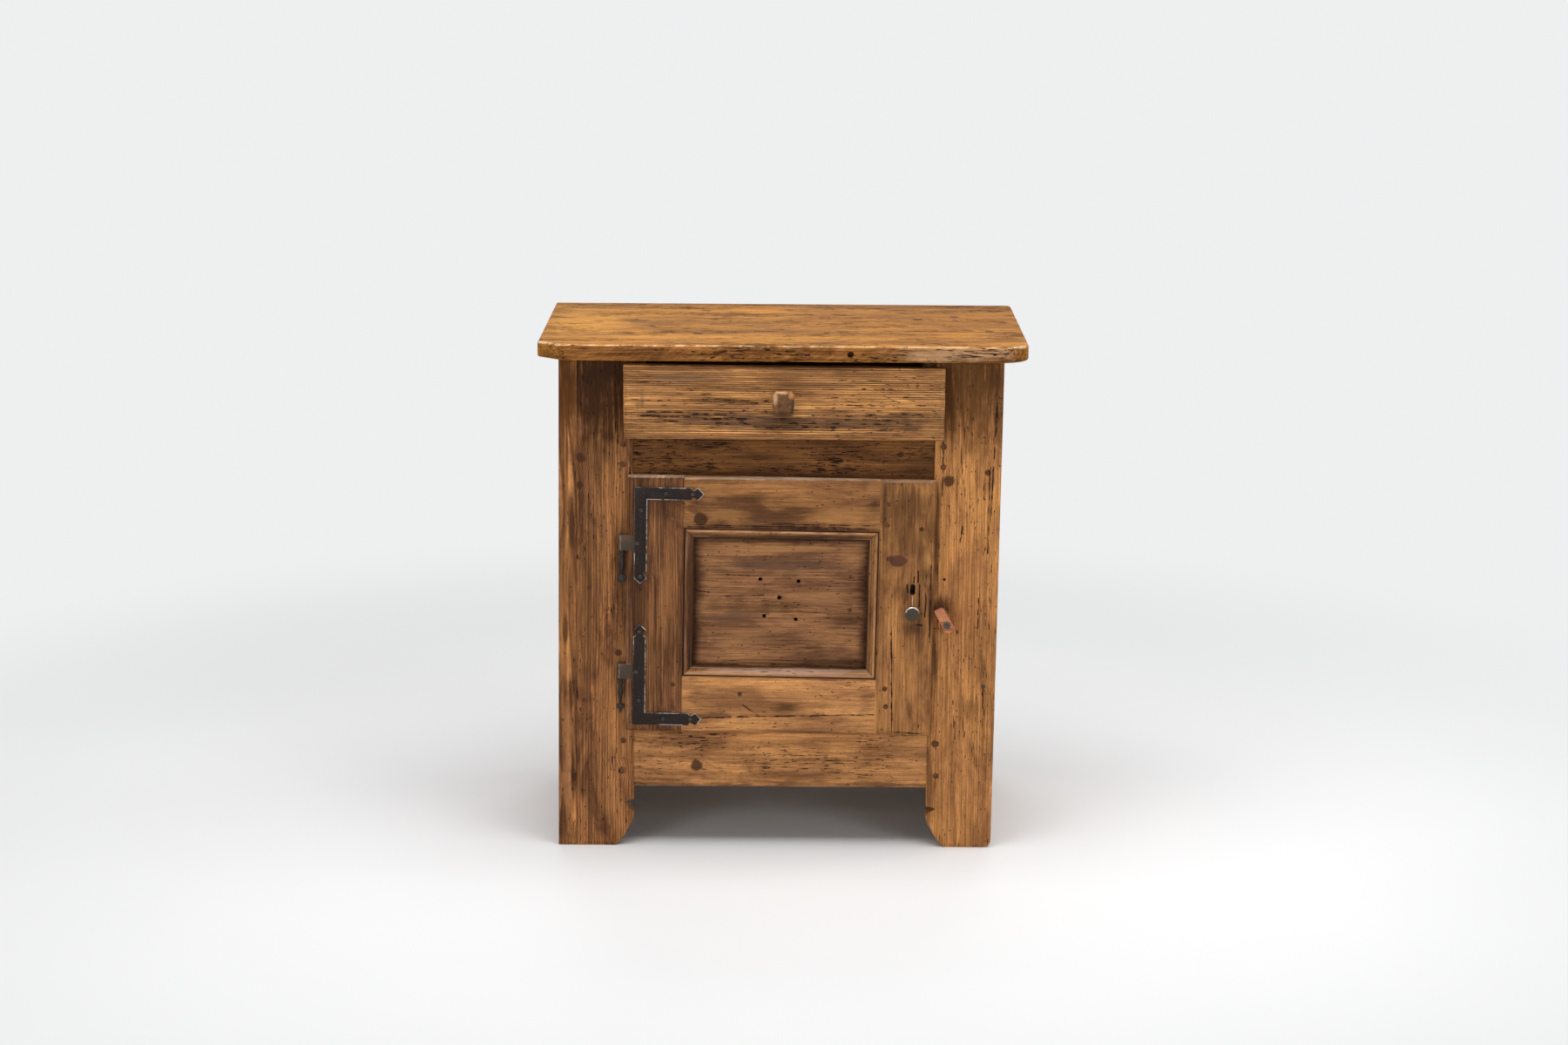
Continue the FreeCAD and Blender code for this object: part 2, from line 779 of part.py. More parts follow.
def kicker_screw_places():
    """Where the screws come up through the kickers into the top board, seen from above."""
    places = []
    left = (left_inner(d.body_height) + carriage_edge(1, d.rail_high)) / 2
    right = (right_inner(d.body_height) + carriage_edge(-1, d.rail_high)) / 2
    for x in (left, right):
        for y in (d.stile_thickness + d.kicker_screw_margin, back_front - d.kicker_screw_margin):
            places.append((x, y))
    return places


def make_side_board(label, outer, inner, front, side):
    """A side plank with a rebate for the back and housings for the floor and the drawer runner."""
    body = new_body(label)
    add(body, "XZ", front, side_back, leaning_path(*sorted_edges(outer, inner, side), ZERO, d.body_height))
    rebate = sorted_edges(moved(inner, d.back_rebate * -side), moved(inner, d.overrun * side), side)
    cut(body, "XZ", back_front, side_back + d.overrun, leaning_path(*rebate, -d.overrun, d.body_height + d.overrun))
    floor = sorted_edges(moved(inner, d.floor_housing * -side), moved(inner, d.overrun * side), side)
    floor_path = leaning_path(*floor, d.apron_high - d.floor_thickness, d.apron_high)
    cut(body, "XZ", d.stile_thickness, back_front + d.overrun, floor_path)
    runner = sorted_edges(moved(inner, d.runner_housing * -side), moved(inner, d.overrun * side), side)
    runner_path = leaning_path(*runner, d.rail_high - d.runner_thickness, d.rail_high)
    cut(body, "XZ", d.stile_thickness, back_front + d.overrun, runner_path)
    return body


def ease(body, edge, face):
    """Eases the long front arris of an upright board along one of its edges."""
    def arris(spots):
        heights = [p.z for p in spots]
        tall = max(heights) - min(heights) > d.spare_height.value
        return tall and all(near(p.y, face) and near(p.x, edge(p.z)) for p in spots)

    soften(body, d.stile_arris, arris)


def sorted_edges(outer, inner, side):
    """Two edges from left to right. side is 1 where the inside of the cabinet lies to the right."""
    return (outer, inner) if side > 0 else (inner, outer)


def make_left_side():
    body = make_side_board("left_side_board", left_outer, left_inner, ZERO, 1)
    ease(body, left_outer, ZERO)
    return carcass(body)


def make_right_side():
    body = make_side_board("right_side_board", right_outer, right_inner, d.stile_thickness, -1)
    reach = d.right_reach_foot
    soften(body, d.side_foot_round, lambda spots: all(near(p.x, reach) and near(p.z, ZERO) for p in spots))
    return carcass(body)


def mortice_paths(edge, side):
    """Outlines of the mortices for the drawer rail and the apron in a stile's inner edge."""
    paths = []
    for low, high in ((d.rail_low, d.rail_high), (d.apron_low, d.apron_high)):
        ends = sorted_edges(moved(edge, d.tenon_length * -side), moved(edge, d.overrun * side), side)
        paths.append(leaning_path(*ends, low + d.tenon_shoulder, high - d.tenon_shoulder))
    return paths


def tenon_band():
    """Where the tenons lie between the front and back of the stiles."""
    middle = d.stile_thickness / 2
    return middle - d.tenon_thickness / 2, middle + d.tenon_thickness / 2


def make_left_stile():
    body = new_body("left_stile")
    edge = upright(opening_left)
    outline = [(left_inner(d.body_height), d.body_height), (left_inner(ZERO), ZERO)]
    outline += list(reversed_path(foot_path(edge, 1, d.left_notch_height)))
    outline += [(opening_left, d.body_height)]
    add(body, "XZ", ZERO, d.stile_thickness, outline)
    cut(body, "XZ", *tenon_band(), *mortice_paths(edge, 1))
    cut(body, "XZ", -d.overrun, d.peg_length, *circles(LEFT_PEGS, d.peg_diameter))
    for level in (d.leaf_upper_low, d.leaf_lower_low):
        x, z = door_point(-d.hinge_axis, spike_level(level))
        cut(body, "XZ", -d.overrun, d.spike_length, (x, z, d.spike_radius))
        x, z = door_point(-d.hinge_axis, foot_level(level))
        nail = d.pintle_nail_diameter / 2 + d.fastener_clear
        cut(body, "XZ", -d.overrun, d.pintle_nail_length, (x, z, nail))
    ease(body, edge, ZERO)
    ease(body, left_inner, ZERO)
    return carcass(body)


def reversed_path(path):
    """The same open stretch of outline, walked the other way."""
    stretch = [(item[0], item[1], *path[index + 1][2:]) if index + 1 < len(path) else item[:2]
               for index, item in enumerate(path)]
    flipped = [(*item[:3], -item[3]) if len(item) == 4 else item for item in stretch]
    return reversed(flipped)


def make_right_stile():
    body = new_body("right_stile")
    edge = opening_right
    outline = [(edge(d.body_height), d.body_height)]
    outline += foot_path(edge, -1, d.right_notch_height)
    outline += [
        (right_outer(ZERO) - d.side_foot_round, ZERO),
        (right_outer(d.side_foot_round), d.side_foot_round, d.side_foot_round, 1),
        (right_outer(d.body_height), d.body_height),
    ]
    add(body, "XZ", ZERO, d.stile_thickness, outline)
    cut(body, "XZ", *tenon_band(), *mortice_paths(edge, -1))
    cut(body, "XZ", -d.overrun, d.peg_length, *circles(RIGHT_PEGS, d.peg_diameter))
    screw_hole = d.button_screw_diameter / 2 + d.fastener_clear
    cut(body, "XZ", -d.overrun, d.button_screw_bite, (d.button_x, d.button_z, screw_hole))
    cut(body, "XZ", -d.overrun, d.stile_hole_depth, (d.stile_hole_x, d.stile_hole_z, d.stile_hole_diameter / 2))
    nail_hole = d.stile_nail_diameter / 2 + d.fastener_clear
    cut(body, "XZ", -d.overrun, d.stile_thickness, (d.stile_nail_x, d.stile_nail_z, nail_hole))
    ease(body, edge, ZERO)
    ease(body, right_outer, ZERO)
    return carcass(body)


def make_front_rail(label, low, high, recess):
    """A rail between the stiles, with a tenon at each end."""
    body = new_body(label)
    add(body, "XZ", recess, d.stile_thickness, leaning_path(upright(opening_left), opening_right, low, high))
    left = upright(opening_left - d.tenon_length)
    right = moved(opening_right, d.tenon_length)
    tenons = leaning_path(left, right, low + d.tenon_shoulder, high - d.tenon_shoulder)
    add(body, "XZ", *tenon_band(), tenons)
    places = [(x, z) for x, z in LEFT_PEGS + RIGHT_PEGS if low.value < z.value < high.value]
    cut(body, "XZ", ZERO, d.peg_length, *circles(places, d.peg_diameter))
    return body


def tongue_path(side, grow=ZERO):
    """The runner's tongue in the back of the drawer rail, seen from the front."""
    if side > 0:
        x0, x1 = opening_left + d.runner_tongue_inset, opening_left + d.runner_reach
    else:
        edge = opening_right(d.rail_high)
        x0, x1 = edge - d.runner_reach, edge - d.runner_tongue_inset
    low = d.rail_high - d.runner_thickness + d.runner_tongue_inset
    return box_path(x0, low - grow, x1, d.rail_high - d.runner_tongue_inset)


def make_drawer_rail():
    body = make_front_rail("drawer_rail", d.rail_low, d.rail_high, d.rail_recess)
    start = d.stile_thickness - d.runner_tongue
    cut(body, "XZ", start, d.stile_thickness + d.overrun, tongue_path(1), tongue_path(-1))
    return carcass(body)


def make_apron():
    body = make_front_rail("apron", d.apron_low, d.apron_high, d.apron_recess)
    soften(body, d.stile_arris, lambda spots: all(near(p.y, d.apron_recess) and near(p.z, d.apron_low) for p in spots))
    return carcass(body)


def make_back_boards():
    """Three upright boards with half laps, in the rebates of the side boards."""
    middle_y = back_front + d.back_thickness / 2
    joint_left = -d.back_board_width / 2
    joint_right = d.back_board_width / 2
    left = moved(left_inner, -d.back_rebate)
    right = moved(right_inner, d.back_rebate)
    low, high = d.back_low, d.body_height
    layout = (
        ("back_board_left", left, upright(joint_left), left, upright(joint_left - d.back_lap)),
        ("back_board_middle", upright(joint_left), upright(joint_right),
         upright(joint_left - d.back_lap), upright(joint_right + d.back_lap)),
        ("back_board_right", upright(joint_right), right, upright(joint_right + d.back_lap), right),
    )
    for label, front_left, front_right, rear_left, rear_right in layout:
        body = new_body(label)
        add(body, "XZ", back_front, middle_y, leaning_path(front_left, front_right, low, high))
        add(body, "XZ", middle_y, side_back, leaning_path(rear_left, rear_right, low, high))
        carcass(body)


def make_floor():
    body = new_body("cupboard_floor")
    left = moved(left_inner, -d.floor_housing)
    right = moved(right_inner, d.floor_housing)
    path = leaning_path(left, right, d.apron_high - d.floor_thickness, d.apron_high)
    add(body, "XZ", d.stile_thickness, back_front, path)
    return carcass(body)


def make_rear_rail():
    body = new_body("rear_rail")
    high = d.rail_high - d.runner_thickness
    path = leaning_path(left_inner, right_inner, high - d.rear_rail_height, high)
    add(body, "XZ", back_front - d.rear_rail_thickness, back_front, path)
    return carcass(body)


def carriage_edge(side, z):
    """The inner edge of the runner and kicker on this side of the drawer."""
    return opening_left + d.runner_reach if side > 0 else opening_right(z) - d.runner_reach


def make_carriage(name, side):
    """The runner, guide and kicker that carry the drawer on one side."""
    inner = left_inner if side > 0 else right_inner
    opening = upright(opening_left) if side > 0 else upright(opening_right(d.rail_high))
    edge = upright(carriage_edge(side, d.rail_high))
    runner = new_body(f"drawer_runner_{name}")
    housed = sorted_edges(moved(inner, d.runner_housing * -side), edge, side)
    path = leaning_path(*housed, d.rail_high - d.runner_thickness, d.rail_high)
    add(runner, "XZ", d.stile_thickness, back_front, path)
    start = d.stile_thickness - d.runner_tongue
    add(runner, "XZ", start, d.stile_thickness + d.overrun, tongue_path(side))
    carcass(runner)
    guide = new_body(f"drawer_guide_{name}")
    walls = sorted_edges(moved(opening, d.guide_width * -side), opening, side)
    add(guide, "XZ", d.stile_thickness, back_front, leaning_path(*walls, d.rail_high, d.rail_high + d.guide_height))
    carcass(guide)
    kicker = new_body(f"kicker_{name}")
    edges = sorted_edges(inner, edge, side)
    path = leaning_path(*edges, d.body_height - d.kicker_thickness, d.body_height)
    add(kicker, "XZ", d.stile_thickness, back_front, path)
    low = d.body_height - d.kicker_thickness
    places = [(x, y) for x, y in kicker_screw_places() if x.value * side < 0]
    cut(kicker, "XY", low - d.overrun, d.body_height, *circles(places, d.kicker_screw_diameter, d.fastener_clear))
    cut(kicker, "XY", low - d.overrun, low + d.kicker_screw_head_length, *circles(places, d.kicker_screw_head))
    carcass(kicker)


def make_kicker_screws():
    body = new_body("kicker_screws", group=True)
    low = d.body_height - d.kicker_thickness
    places = kicker_screw_places()
    add(body, "XY", low, low + d.kicker_screw_head_length, *circles(places, d.kicker_screw_head))
    end = d.body_height + d.kicker_screw_bite
    add(body, "XY", low + d.kicker_screw_head_length / 2, end, *circles(places, d.kicker_screw_diameter))
    return carcass(body)


def make_carcass_pegs():
    body = new_body("carcass_pegs", group=True)
    add(body, "XZ", -d.peg_proud, d.peg_length, *circles(LEFT_PEGS + RIGHT_PEGS, d.peg_diameter))
    return carcass(body)


def make_stile_nail():
    body = new_body("stile_nail")
    place_xz = [(d.stile_nail_x, d.stile_nail_z)]
    add(body, "XZ", -d.stile_nail_head_height, ZERO, *circles(place_xz, d.stile_nail_head))
    add(body, "XZ", -d.stile_nail_head_height / 2, d.stile_thickness, *circles(place_xz, d.stile_nail_diameter))
    return carcass(body)


def drawer_box():
    """Left, right, bottom and top of the drawer's box."""
    left = opening_left + d.drawer_clear
    right = opening_right(d.rail_high) - d.drawer_clear
    low = d.rail_high + d.drawer_lift
    return left, right, low, low + d.drawer_side_height


def dovetails(y, grow=ZERO):
    """The side view of the tails at the drawer's front corners, which end at this depth."""
    _, _, low, _ = drawer_box()
    start = y + d.dovetail_length + grow
    narrow = d.drawer_side_height * DOVETAIL_NARROW_SHARE / 2
    wide = d.drawer_side_height * DOVETAIL_WIDE_SHARE / 2
    paths = []
    for share in DOVETAIL_MIDDLE_SHARES:
        middle = low + d.drawer_side_height * share
        paths.append([(start, middle + narrow), (y, middle + wide), (y, middle - wide), (start, middle - narrow)])
    return paths


def make_drawer_front():
    body = new_body("drawer_front")
    left, right, low, high = drawer_box()
    front = -d.lip_gap - d.drawer_proud
    lip = [
        (-d.drawer_left, d.drawer_low),
        (d.drawer_right, d.drawer_low),
        (d.drawer_right, d.drawer_high_right),
        (-d.drawer_left, d.drawer_high_left),
    ]
    add(body, "XZ", front, -d.lip_gap, lip)
    add(body, "XZ", -d.lip_gap, d.drawer_tongue, box_path(left, low, right, high))
    soften(body, d.drawer_arris, lambda spots: all(near(p.y, front) for p in spots))
    tail_end = d.drawer_tongue - d.dovetail_length
    cut(body, "YZ", left - d.overrun, left + d.drawer_side_thickness, *dovetails(tail_end, d.overrun))
    cut(body, "YZ", right - d.drawer_side_thickness, right + d.overrun, *dovetails(tail_end, d.overrun))
    groove_low = low + d.drawer_bottom_lift
    groove = box_path(left + d.drawer_side_thickness, groove_low,
                      right - d.drawer_side_thickness, groove_low + d.drawer_bottom_thickness)
    cut(body, "XZ", d.drawer_tongue - d.drawer_groove, d.drawer_tongue + d.overrun, groove)
    shank = (d.knob_place_x, d.knob_place_z, d.knob_shank / 2)
    cut(body, "XZ", front - d.overrun, d.drawer_tongue + d.overrun, shank)
    return carcass(body)


def make_drawer_side(label, side):
    """A drawer side with two tails at the front and a groove for the bottom."""
    body = new_body(label)
    left, right, low, high = drawer_box()
    x0 = left if side > 0 else right - d.drawer_side_thickness
    x1 = x0 + d.drawer_side_thickness
    add(body, "YZ", x0, x1, box_path(d.drawer_tongue, low, d.drawer_side_end, high))
    add(body, "YZ", x0, x1, *dovetails(d.drawer_tongue - d.dovetail_length, d.overrun))
    groove_low = low + d.drawer_bottom_lift
    walls = (x1 - d.drawer_groove, x1 + d.overrun) if side > 0 else (x0 - d.overrun, x0 + d.drawer_groove)
    path = box_path(walls[0], groove_low, walls[1], groove_low + d.drawer_bottom_thickness)
    cut(body, "XZ", d.drawer_tongue - d.overrun, d.drawer_side_end + d.overrun, path)
    return carcass(body)


def make_drawer_back():
    body = new_body("drawer_back")
    left, right, low, high = drawer_box()
    rear = d.drawer_side_end - d.drawer_back_inset
    bottom = low + d.drawer_bottom_lift + d.drawer_bottom_thickness
    path = box_path(left + d.drawer_side_thickness, bottom,
                    right - d.drawer_side_thickness, high - d.drawer_back_drop)
    add(body, "XZ", rear - d.drawer_side_thickness, rear, path)
    return carcass(body)


def make_drawer_bottom():
    body = new_body("drawer_bottom")
    left, right, low, _ = drawer_box()
    inset = d.drawer_side_thickness - d.drawer_groove
    bottom = low + d.drawer_bottom_lift
    path = box_path(left + inset, bottom, right - inset, bottom + d.drawer_bottom_thickness)
    add(body, "XZ", d.drawer_tongue, d.drawer_side_end - d.drawer_back_inset, path)
    tongue = box_path(left + d.drawer_side_thickness, bottom,
                      right - d.drawer_side_thickness, bottom + d.drawer_bottom_thickness)
    add(body, "XZ", d.drawer_tongue - d.drawer_groove, d.drawer_tongue + d.overrun, tongue)
    return carcass(body)


def make_drawer_knob():
    """A whittled knob: a square neck that flares into a flat square head with one chipped corner."""
    body = new_body("drawer_knob")
    shift = (d.knob_place_x, d.knob_place_z)
    foot = -d.lip_gap - d.drawer_proud
    sections = (
        (foot, d.knob_neck, d.knob_neck, d.knob_neck / 3),
        (foot - d.knob_neck_length / 2, d.knob_neck, d.knob_neck, d.knob_neck / 3),
        (foot - d.knob_neck_length, d.knob_width, d.knob_height, d.knob_corner),
    )
    profiles = []
    for y, width, height, corner in sections:
        sketch = new_sketch(body, "XZ", y, shift)
        draw(sketch, rounded(width, height, corner))
        profiles.append(sketch)
    flare = body.newObject("PartDesign::AdditiveLoft", "knob_flare")
    flare.Profile = profiles[0]
    flare.Sections = profiles[1:]
    flare.Ruled = True
    doc.recompute()
    front = foot - d.knob_reach
    head = rounded(d.knob_width, d.knob_height, d.knob_corner)
    add(body, "XZ", front, foot - d.knob_neck_length, head, shift=shift)
    soften(body, d.knob_face_round, lambda spots: all(near(p.y, front) for p in spots))
    chip = box_path(d.knob_width / 2 - d.knob_chip_width, d.knob_height / 2 - d.knob_chip_height,
                    d.knob_width, d.knob_height)
    cut(body, "XZ", front - d.overrun, front + d.knob_chip_depth, chip, shift=shift)
    add(body, "XZ", foot - d.knob_neck_length / 4, d.drawer_tongue, (ZERO, ZERO, d.knob_shank / 2), shift=shift)
    return carcass(body)


def rounded(width, height, corner):
    """A rectangle about the origin with four round corners, as an outline."""
    w, v = width / 2, height / 2
    return [
        (w, -v + corner, corner, 1),
        (w, v - corner),
        (w - corner, v, corner, 1),
        (-w + corner, v),
        (-w, v - corner, corner, 1),
        (-w, -v + corner),
        (-w + corner, -v, corner, 1),
        (w - corner, -v),
    ]


# The door is drawn upright from the lower left corner of its lip, and its Placement hangs it askew.
door_front = -d.lip_gap - d.door_lip
door_back = d.door_inner - d.lip_gap
panel_face = -d.panel_front
panel_back = panel_face + d.panel_thickness
lock_line = d.door_width - d.door_stile_width
rail_line = d.door_height - d.door_top_rail
low_line = d.door_low_rail


def on_door(body):
    place(body, -d.door_left, face_y, d.door_low, d.door_sag)
    return body


def moulding_profile(edge, side):
    """The section of a frame member's moulded inner edge, as (across, depth) corners.

    edge is where the moulding starts and side is 1 where it runs towards +. The groove for the
    panel is cut into its inner face.
    """
    def at(across, depth, *arc):
        return (edge + across * side, depth, *arc)

    quirk_end = d.moulding_quirk
    ovolo_start = d.moulding_quirk + d.moulding_bead
    fillet_start = d.moulding_width - d.moulding_fillet
    step_face = door_front + d.moulding_ovolo_drop + d.moulding_fillet_step
    groove_end = d.moulding_width - d.panel_groove
    return [
        at(ZERO, door_front + d.moulding_quirk_depth),
        at(quirk_end, door_front + d.moulding_quirk_depth),
        at(ovolo_start, door_front, d.moulding_bead, -side),
        at(fillet_start, door_front + d.moulding_ovolo_drop, d.moulding_ovolo_radius, -side),
        at(fillet_start, step_face),
        at(d.moulding_width, step_face),
        at(d.moulding_width, panel_face),
        at(groove_end, panel_face),
        at(groove_end, panel_back),
        at(d.moulding_width, panel_back),
        at(d.moulding_width, door_back),
        at(ZERO, door_back),
    ]


def door_peg_places():
    """Peg places on the door by the side and rail that they pin."""
    places = []
    for side, rail, out, up in DOOR_PEG_SHARES:
        if side == "left":
            x = d.door_stile_width - d.door_tenon_length * out
        else:
            x = lock_line + d.door_tenon_length * out
        z = low_line * up if rail == "low" else rail_line + d.door_top_rail * up
        places.append((side, rail, x, z))
    return places


DOOR_PEGS = door_peg_places()
DOOR_TENONS = {
    "low": (d.door_tenon_low_end, low_line - d.door_tenon_inset),
    "top": (rail_line + d.door_tenon_inset, d.door_height - d.door_tenon_top_end),
}


def make_door_stile(label, side):
    """An upright of the door: lipped board, mitred moulding, mortices and peg holes."""
    body = new_body(label)
    outer = ZERO if side > 0 else d.door_width
    lap = d.door_lap_left if side > 0 else d.door_lap_right
    joint = d.door_stile_width if side > 0 else lock_line

    def across(first, second):
        return (first, second) if side > 0 else (second, first)

    x0, x1 = across(outer, joint)
    add(body, "XZ", door_front, -d.lip_gap, box_path(x0, ZERO, x1, d.door_height))
    x0, x1 = across(outer + lap * side, joint)
    add(body, "XZ", -d.lip_gap, door_back, box_path(x0, d.door_lap_low, x1, d.door_height - d.door_lap_top))
    add(body, "XY", low_line, rail_line, moulding_profile(joint, side))
    tip = joint + (d.moulding_width + d.overrun) * side
    low_tip = low_line + d.moulding_width + d.overrun
    high_tip = rail_line - d.moulding_width - d.overrun
    mitres = (
        [(joint, low_line), (tip, low_line), (tip, low_tip)],
        [(joint, rail_line), (tip, high_tip), (tip, rail_line)],
    )
    for mitre in mitres:
        cut(body, "XZ", door_front - d.overrun, door_back + d.overrun, mitre)
    slots = []
    for low, high in DOOR_TENONS.values():
        x0, x1 = across(joint - d.door_tenon_length * side, joint + d.overrun * side)
        slots.append(box_path(x0, low, x1, high))
    cut(body, "XZ", panel_face, panel_back, *slots)
    name = "left" if side > 0 else "right"
    pegs = [(x, z) for peg_side, _, x, z in DOOR_PEGS if peg_side == name]
    cut(body, "XZ", door_front - d.overrun, door_front + d.door_peg_length, *circles(pegs, d.door_peg_diameter))

    def arris(spots):
        flat = all(near(p.y, door_front) for p in spots)
        ends = all(near(p.z, ZERO) for p in spots) or all(near(p.z, d.door_height) for p in spots)
        return flat and (ends or all(near(p.x, outer) for p in spots))

    soften(body, d.door_arris, arris)
    return body


def make_hinge_stile():
    body = make_door_stile("door_hinge_stile", 1)
    for low in (d.leaf_upper_low, d.leaf_lower_low):
        path = box_path(-d.overrun, low, d.leaf_reach, low + d.leaf_height)
        cut(body, "XZ", door_front - d.overrun, door_front + d.iron_thickness, path)
    places = [(x, z) for x, z in strap_nail_places() if x.value < d.door_stile_width.value]
    nails = circles(places, d.strap_nail_diameter, d.fastener_clear)
    cut(body, "XZ", door_front - d.overrun, strap_nail_end(), *nails)
    return on_door(body)


def cut_keyhole(body, front, back):
    """Cuts the keyhole, a slot with round ends, through a body."""
    radius = d.keyhole_width / 2
    low = d.keyhole_z - d.keyhole_height / 2 + radius
    high = d.keyhole_z + d.keyhole_height / 2 - radius
    cut(body, "XZ", front, back, box_path(d.keyhole_x - radius, low, d.keyhole_x + radius, high))
    for z in (low, high):
        cut(body, "XZ", front, back, (d.keyhole_x, z, radius))


def make_lock_stile():
    body = make_door_stile("door_lock_stile", -1)
    cut_keyhole(body, door_front - d.overrun, door_back + d.overrun)
    pull = (d.pull_x, d.pull_z, d.pull_shank_radius + d.fastener_clear)
    cut(body, "XZ", door_front - d.overrun, door_front + d.pull_shank_length, pull)
    cut(body, "XZ", door_front - d.overrun, door_front + d.patch_depth, patch_path())
    holes = circles(lock_screw_places(), d.lock_screw_diameter, d.fastener_clear)
    cut(body, "XZ", door_back - d.lock_screw_length, door_back + d.overrun, *holes)
    return on_door(body)


def patch_path():
    return box_path(d.patch_x, d.patch_z, d.patch_x + d.patch_width, d.patch_z + d.patch_height)


def make_door_patch():
    """A small square of darker wood let into the lock stile."""
    body = new_body("door_patch")
    add(body, "XZ", door_front, door_front + d.patch_depth, patch_path())
    return on_door(body)


def make_door_rail(label, rail):
    """A rail of the door: lipped board, mitred moulding, tenons and peg holes."""
    body = new_body(label)
    top = rail == "top"
    low, high = (rail_line, d.door_height) if top else (ZERO, low_line)
    lap_low = rail_line if top else d.door_lap_low
    lap_high = d.door_height - d.door_lap_top if top else low_line
    x0, x1 = d.door_stile_width, lock_line
    add(body, "XZ", door_front, -d.lip_gap, box_path(x0, low, x1, high))
    add(body, "XZ", -d.lip_gap, door_back, box_path(x0, lap_low, x1, lap_high))
    joint, side = (rail_line, -1) if top else (low_line, 1)
    profile = [swap_axes(item) for item in moulding_profile(joint, side)]
    add(body, "YZ", x0, x1, profile)
    tip = joint + (d.moulding_width + d.overrun) * side
    inset = d.moulding_width + d.overrun
    mitres = (
        [(x0, joint), (x0 + inset, tip), (x0, tip)],
        [(x1, joint), (x1, tip), (x1 - inset, tip)],
    )
    for mitre in mitres:
        cut(body, "XZ", door_front - d.overrun, door_back + d.overrun, mitre)
    tenon_low, tenon_high = DOOR_TENONS[rail]
    reach = d.door_tenon_length
    add(body, "XZ", panel_face, panel_back, box_path(x0 - reach, tenon_low, x1 + reach, tenon_high))
    pegs = [(x, z) for _, peg_rail, x, z in DOOR_PEGS if peg_rail == rail]
    cut(body, "XZ", door_front, door_front + d.door_peg_length, *circles(pegs, d.door_peg_diameter))
    edge_z = d.door_height if top else ZERO

    def arris(spots):
        return all(near(p.y, door_front) and near(p.z, edge_z) for p in spots)

    soften(body, d.door_arris, arris)
    nails = [(x, z) for x, z in strap_nail_places() if low.value < z.value < high.value]
    cut(body, "XZ", door_front - d.overrun, strap_nail_end(), *circles(nails, d.strap_nail_diameter, d.fastener_clear))
    return on_door(body)


def swap_axes(item):
    """A section corner with its two coordinates swapped, which also turns its arc over."""
    return (item[1], item[0], item[2], -item[3]) if len(item) == 4 else (item[1], item[0])


def make_panel():
    body = new_body("door_panel")
    margin = d.moulding_width - d.panel_groove + d.panel_clear
    x0, x1 = d.door_stile_width + margin, lock_line - margin
    z0, z1 = low_line + margin, rail_line - margin
    add(body, "XZ", panel_face, panel_back, box_path(x0, z0, x1, z1))
    inner_x, inner_z = d.door_stile_width + d.moulding_width, low_line + d.moulding_width
    wide = lock_line - d.moulding_width - inner_x
    tall = rail_line - d.moulding_width - inner_z
    half = d.vent_width / 2
    vents = []
    for across, up in VENT_SHARES:
        x, z = inner_x + wide * across, inner_z + tall * up
        vents.append(box_path(x - half, z - half, x + half, z + half))
    cut(body, "XZ", panel_face - d.overrun, panel_back + d.overrun, *vents)
    return on_door(body)


def make_door_pegs():
    body = new_body("door_pegs", group=True)
    pegs = [(x, z) for _, _, x, z in DOOR_PEGS]
    add(body, "XZ", door_front, door_front + d.door_peg_length, *circles(pegs, d.door_peg_diameter))
    return on_door(body)


def strap_nail_end():
    return door_front - d.iron_thickness - d.strap_nail_head_height + d.strap_nail_length


def leaf_nail_place(leaf_low):
    """Where a nail goes through the strap and the leaf behind it."""
    return d.strap_edge + d.strap_width / 4, leaf_low + d.leaf_height / 2


def strap_nail_places():
    """Nail places on the two straps and the two leaves behind them."""
    places = []
    tall_x = d.strap_edge + d.strap_width / 2
    for edge, inward, tip in ((d.strap_upper_edge, -1, d.strap_upper_tip), (d.strap_lower_edge, 1, d.strap_lower_tip)):
        flat_z = edge + d.strap_width / 2 * inward
        tall_length = (tip - edge) * inward
        for along in STRAP_FLAT_NAIL_SHARES:
            places.append((d.strap_edge + (d.strap_reach - d.strap_edge) * along, flat_z))
        for along in STRAP_TALL_NAIL_SHARES:
            places.append((tall_x, edge + tall_length * along * inward))
    places.append(leaf_nail_place(d.leaf_upper_low))
    places.append(leaf_nail_place(d.leaf_lower_low))
    return places


def strap_path(edge, inward, tip):
    """The outline of an L-shaped strap with a spear at the end of each leg.

    edge is the outer edge of the flat leg, and inward is -1 where the tall leg runs down from it.
    """
    left = d.strap_edge
    width = d.strap_width
    middle_x = left + width / 2
    middle_z = edge + width / 2 * inward
    notch = d.spear_notch_width / 2
    deep = width / 2 - d.spear_notch_depth
    shoulder_x = d.strap_reach - d.spear_length
    shoulder_z = tip - d.spear_length * inward

    def flat(along, out):
        return (shoulder_x + along, middle_z + out * inward)

    def tall(along, out):
        return (middle_x + out, shoulder_z + along * inward)

    half = width / 2
    lobe = d.spear_shoulder
    flat_leg = [
        flat(-notch, -half),
        flat(ZERO, -deep),
        flat(notch, -deep),
        flat(lobe, -half),
        (d.strap_reach, middle_z),
        flat(lobe, half),
        flat(notch, deep),
        flat(ZERO, deep),
        flat(-notch, half),
    ]
    tall_leg = [
        tall(-notch, half),
        tall(ZERO, deep),
        tall(notch, deep),
        tall(lobe, half),
        (middle_x, tip),
        tall(lobe, -half),
        tall(notch, -deep),
        tall(ZERO, -deep),
        tall(-notch, -half),
    ]
    return [(left, edge), *flat_leg, (left + width, edge + width * inward), *tall_leg]


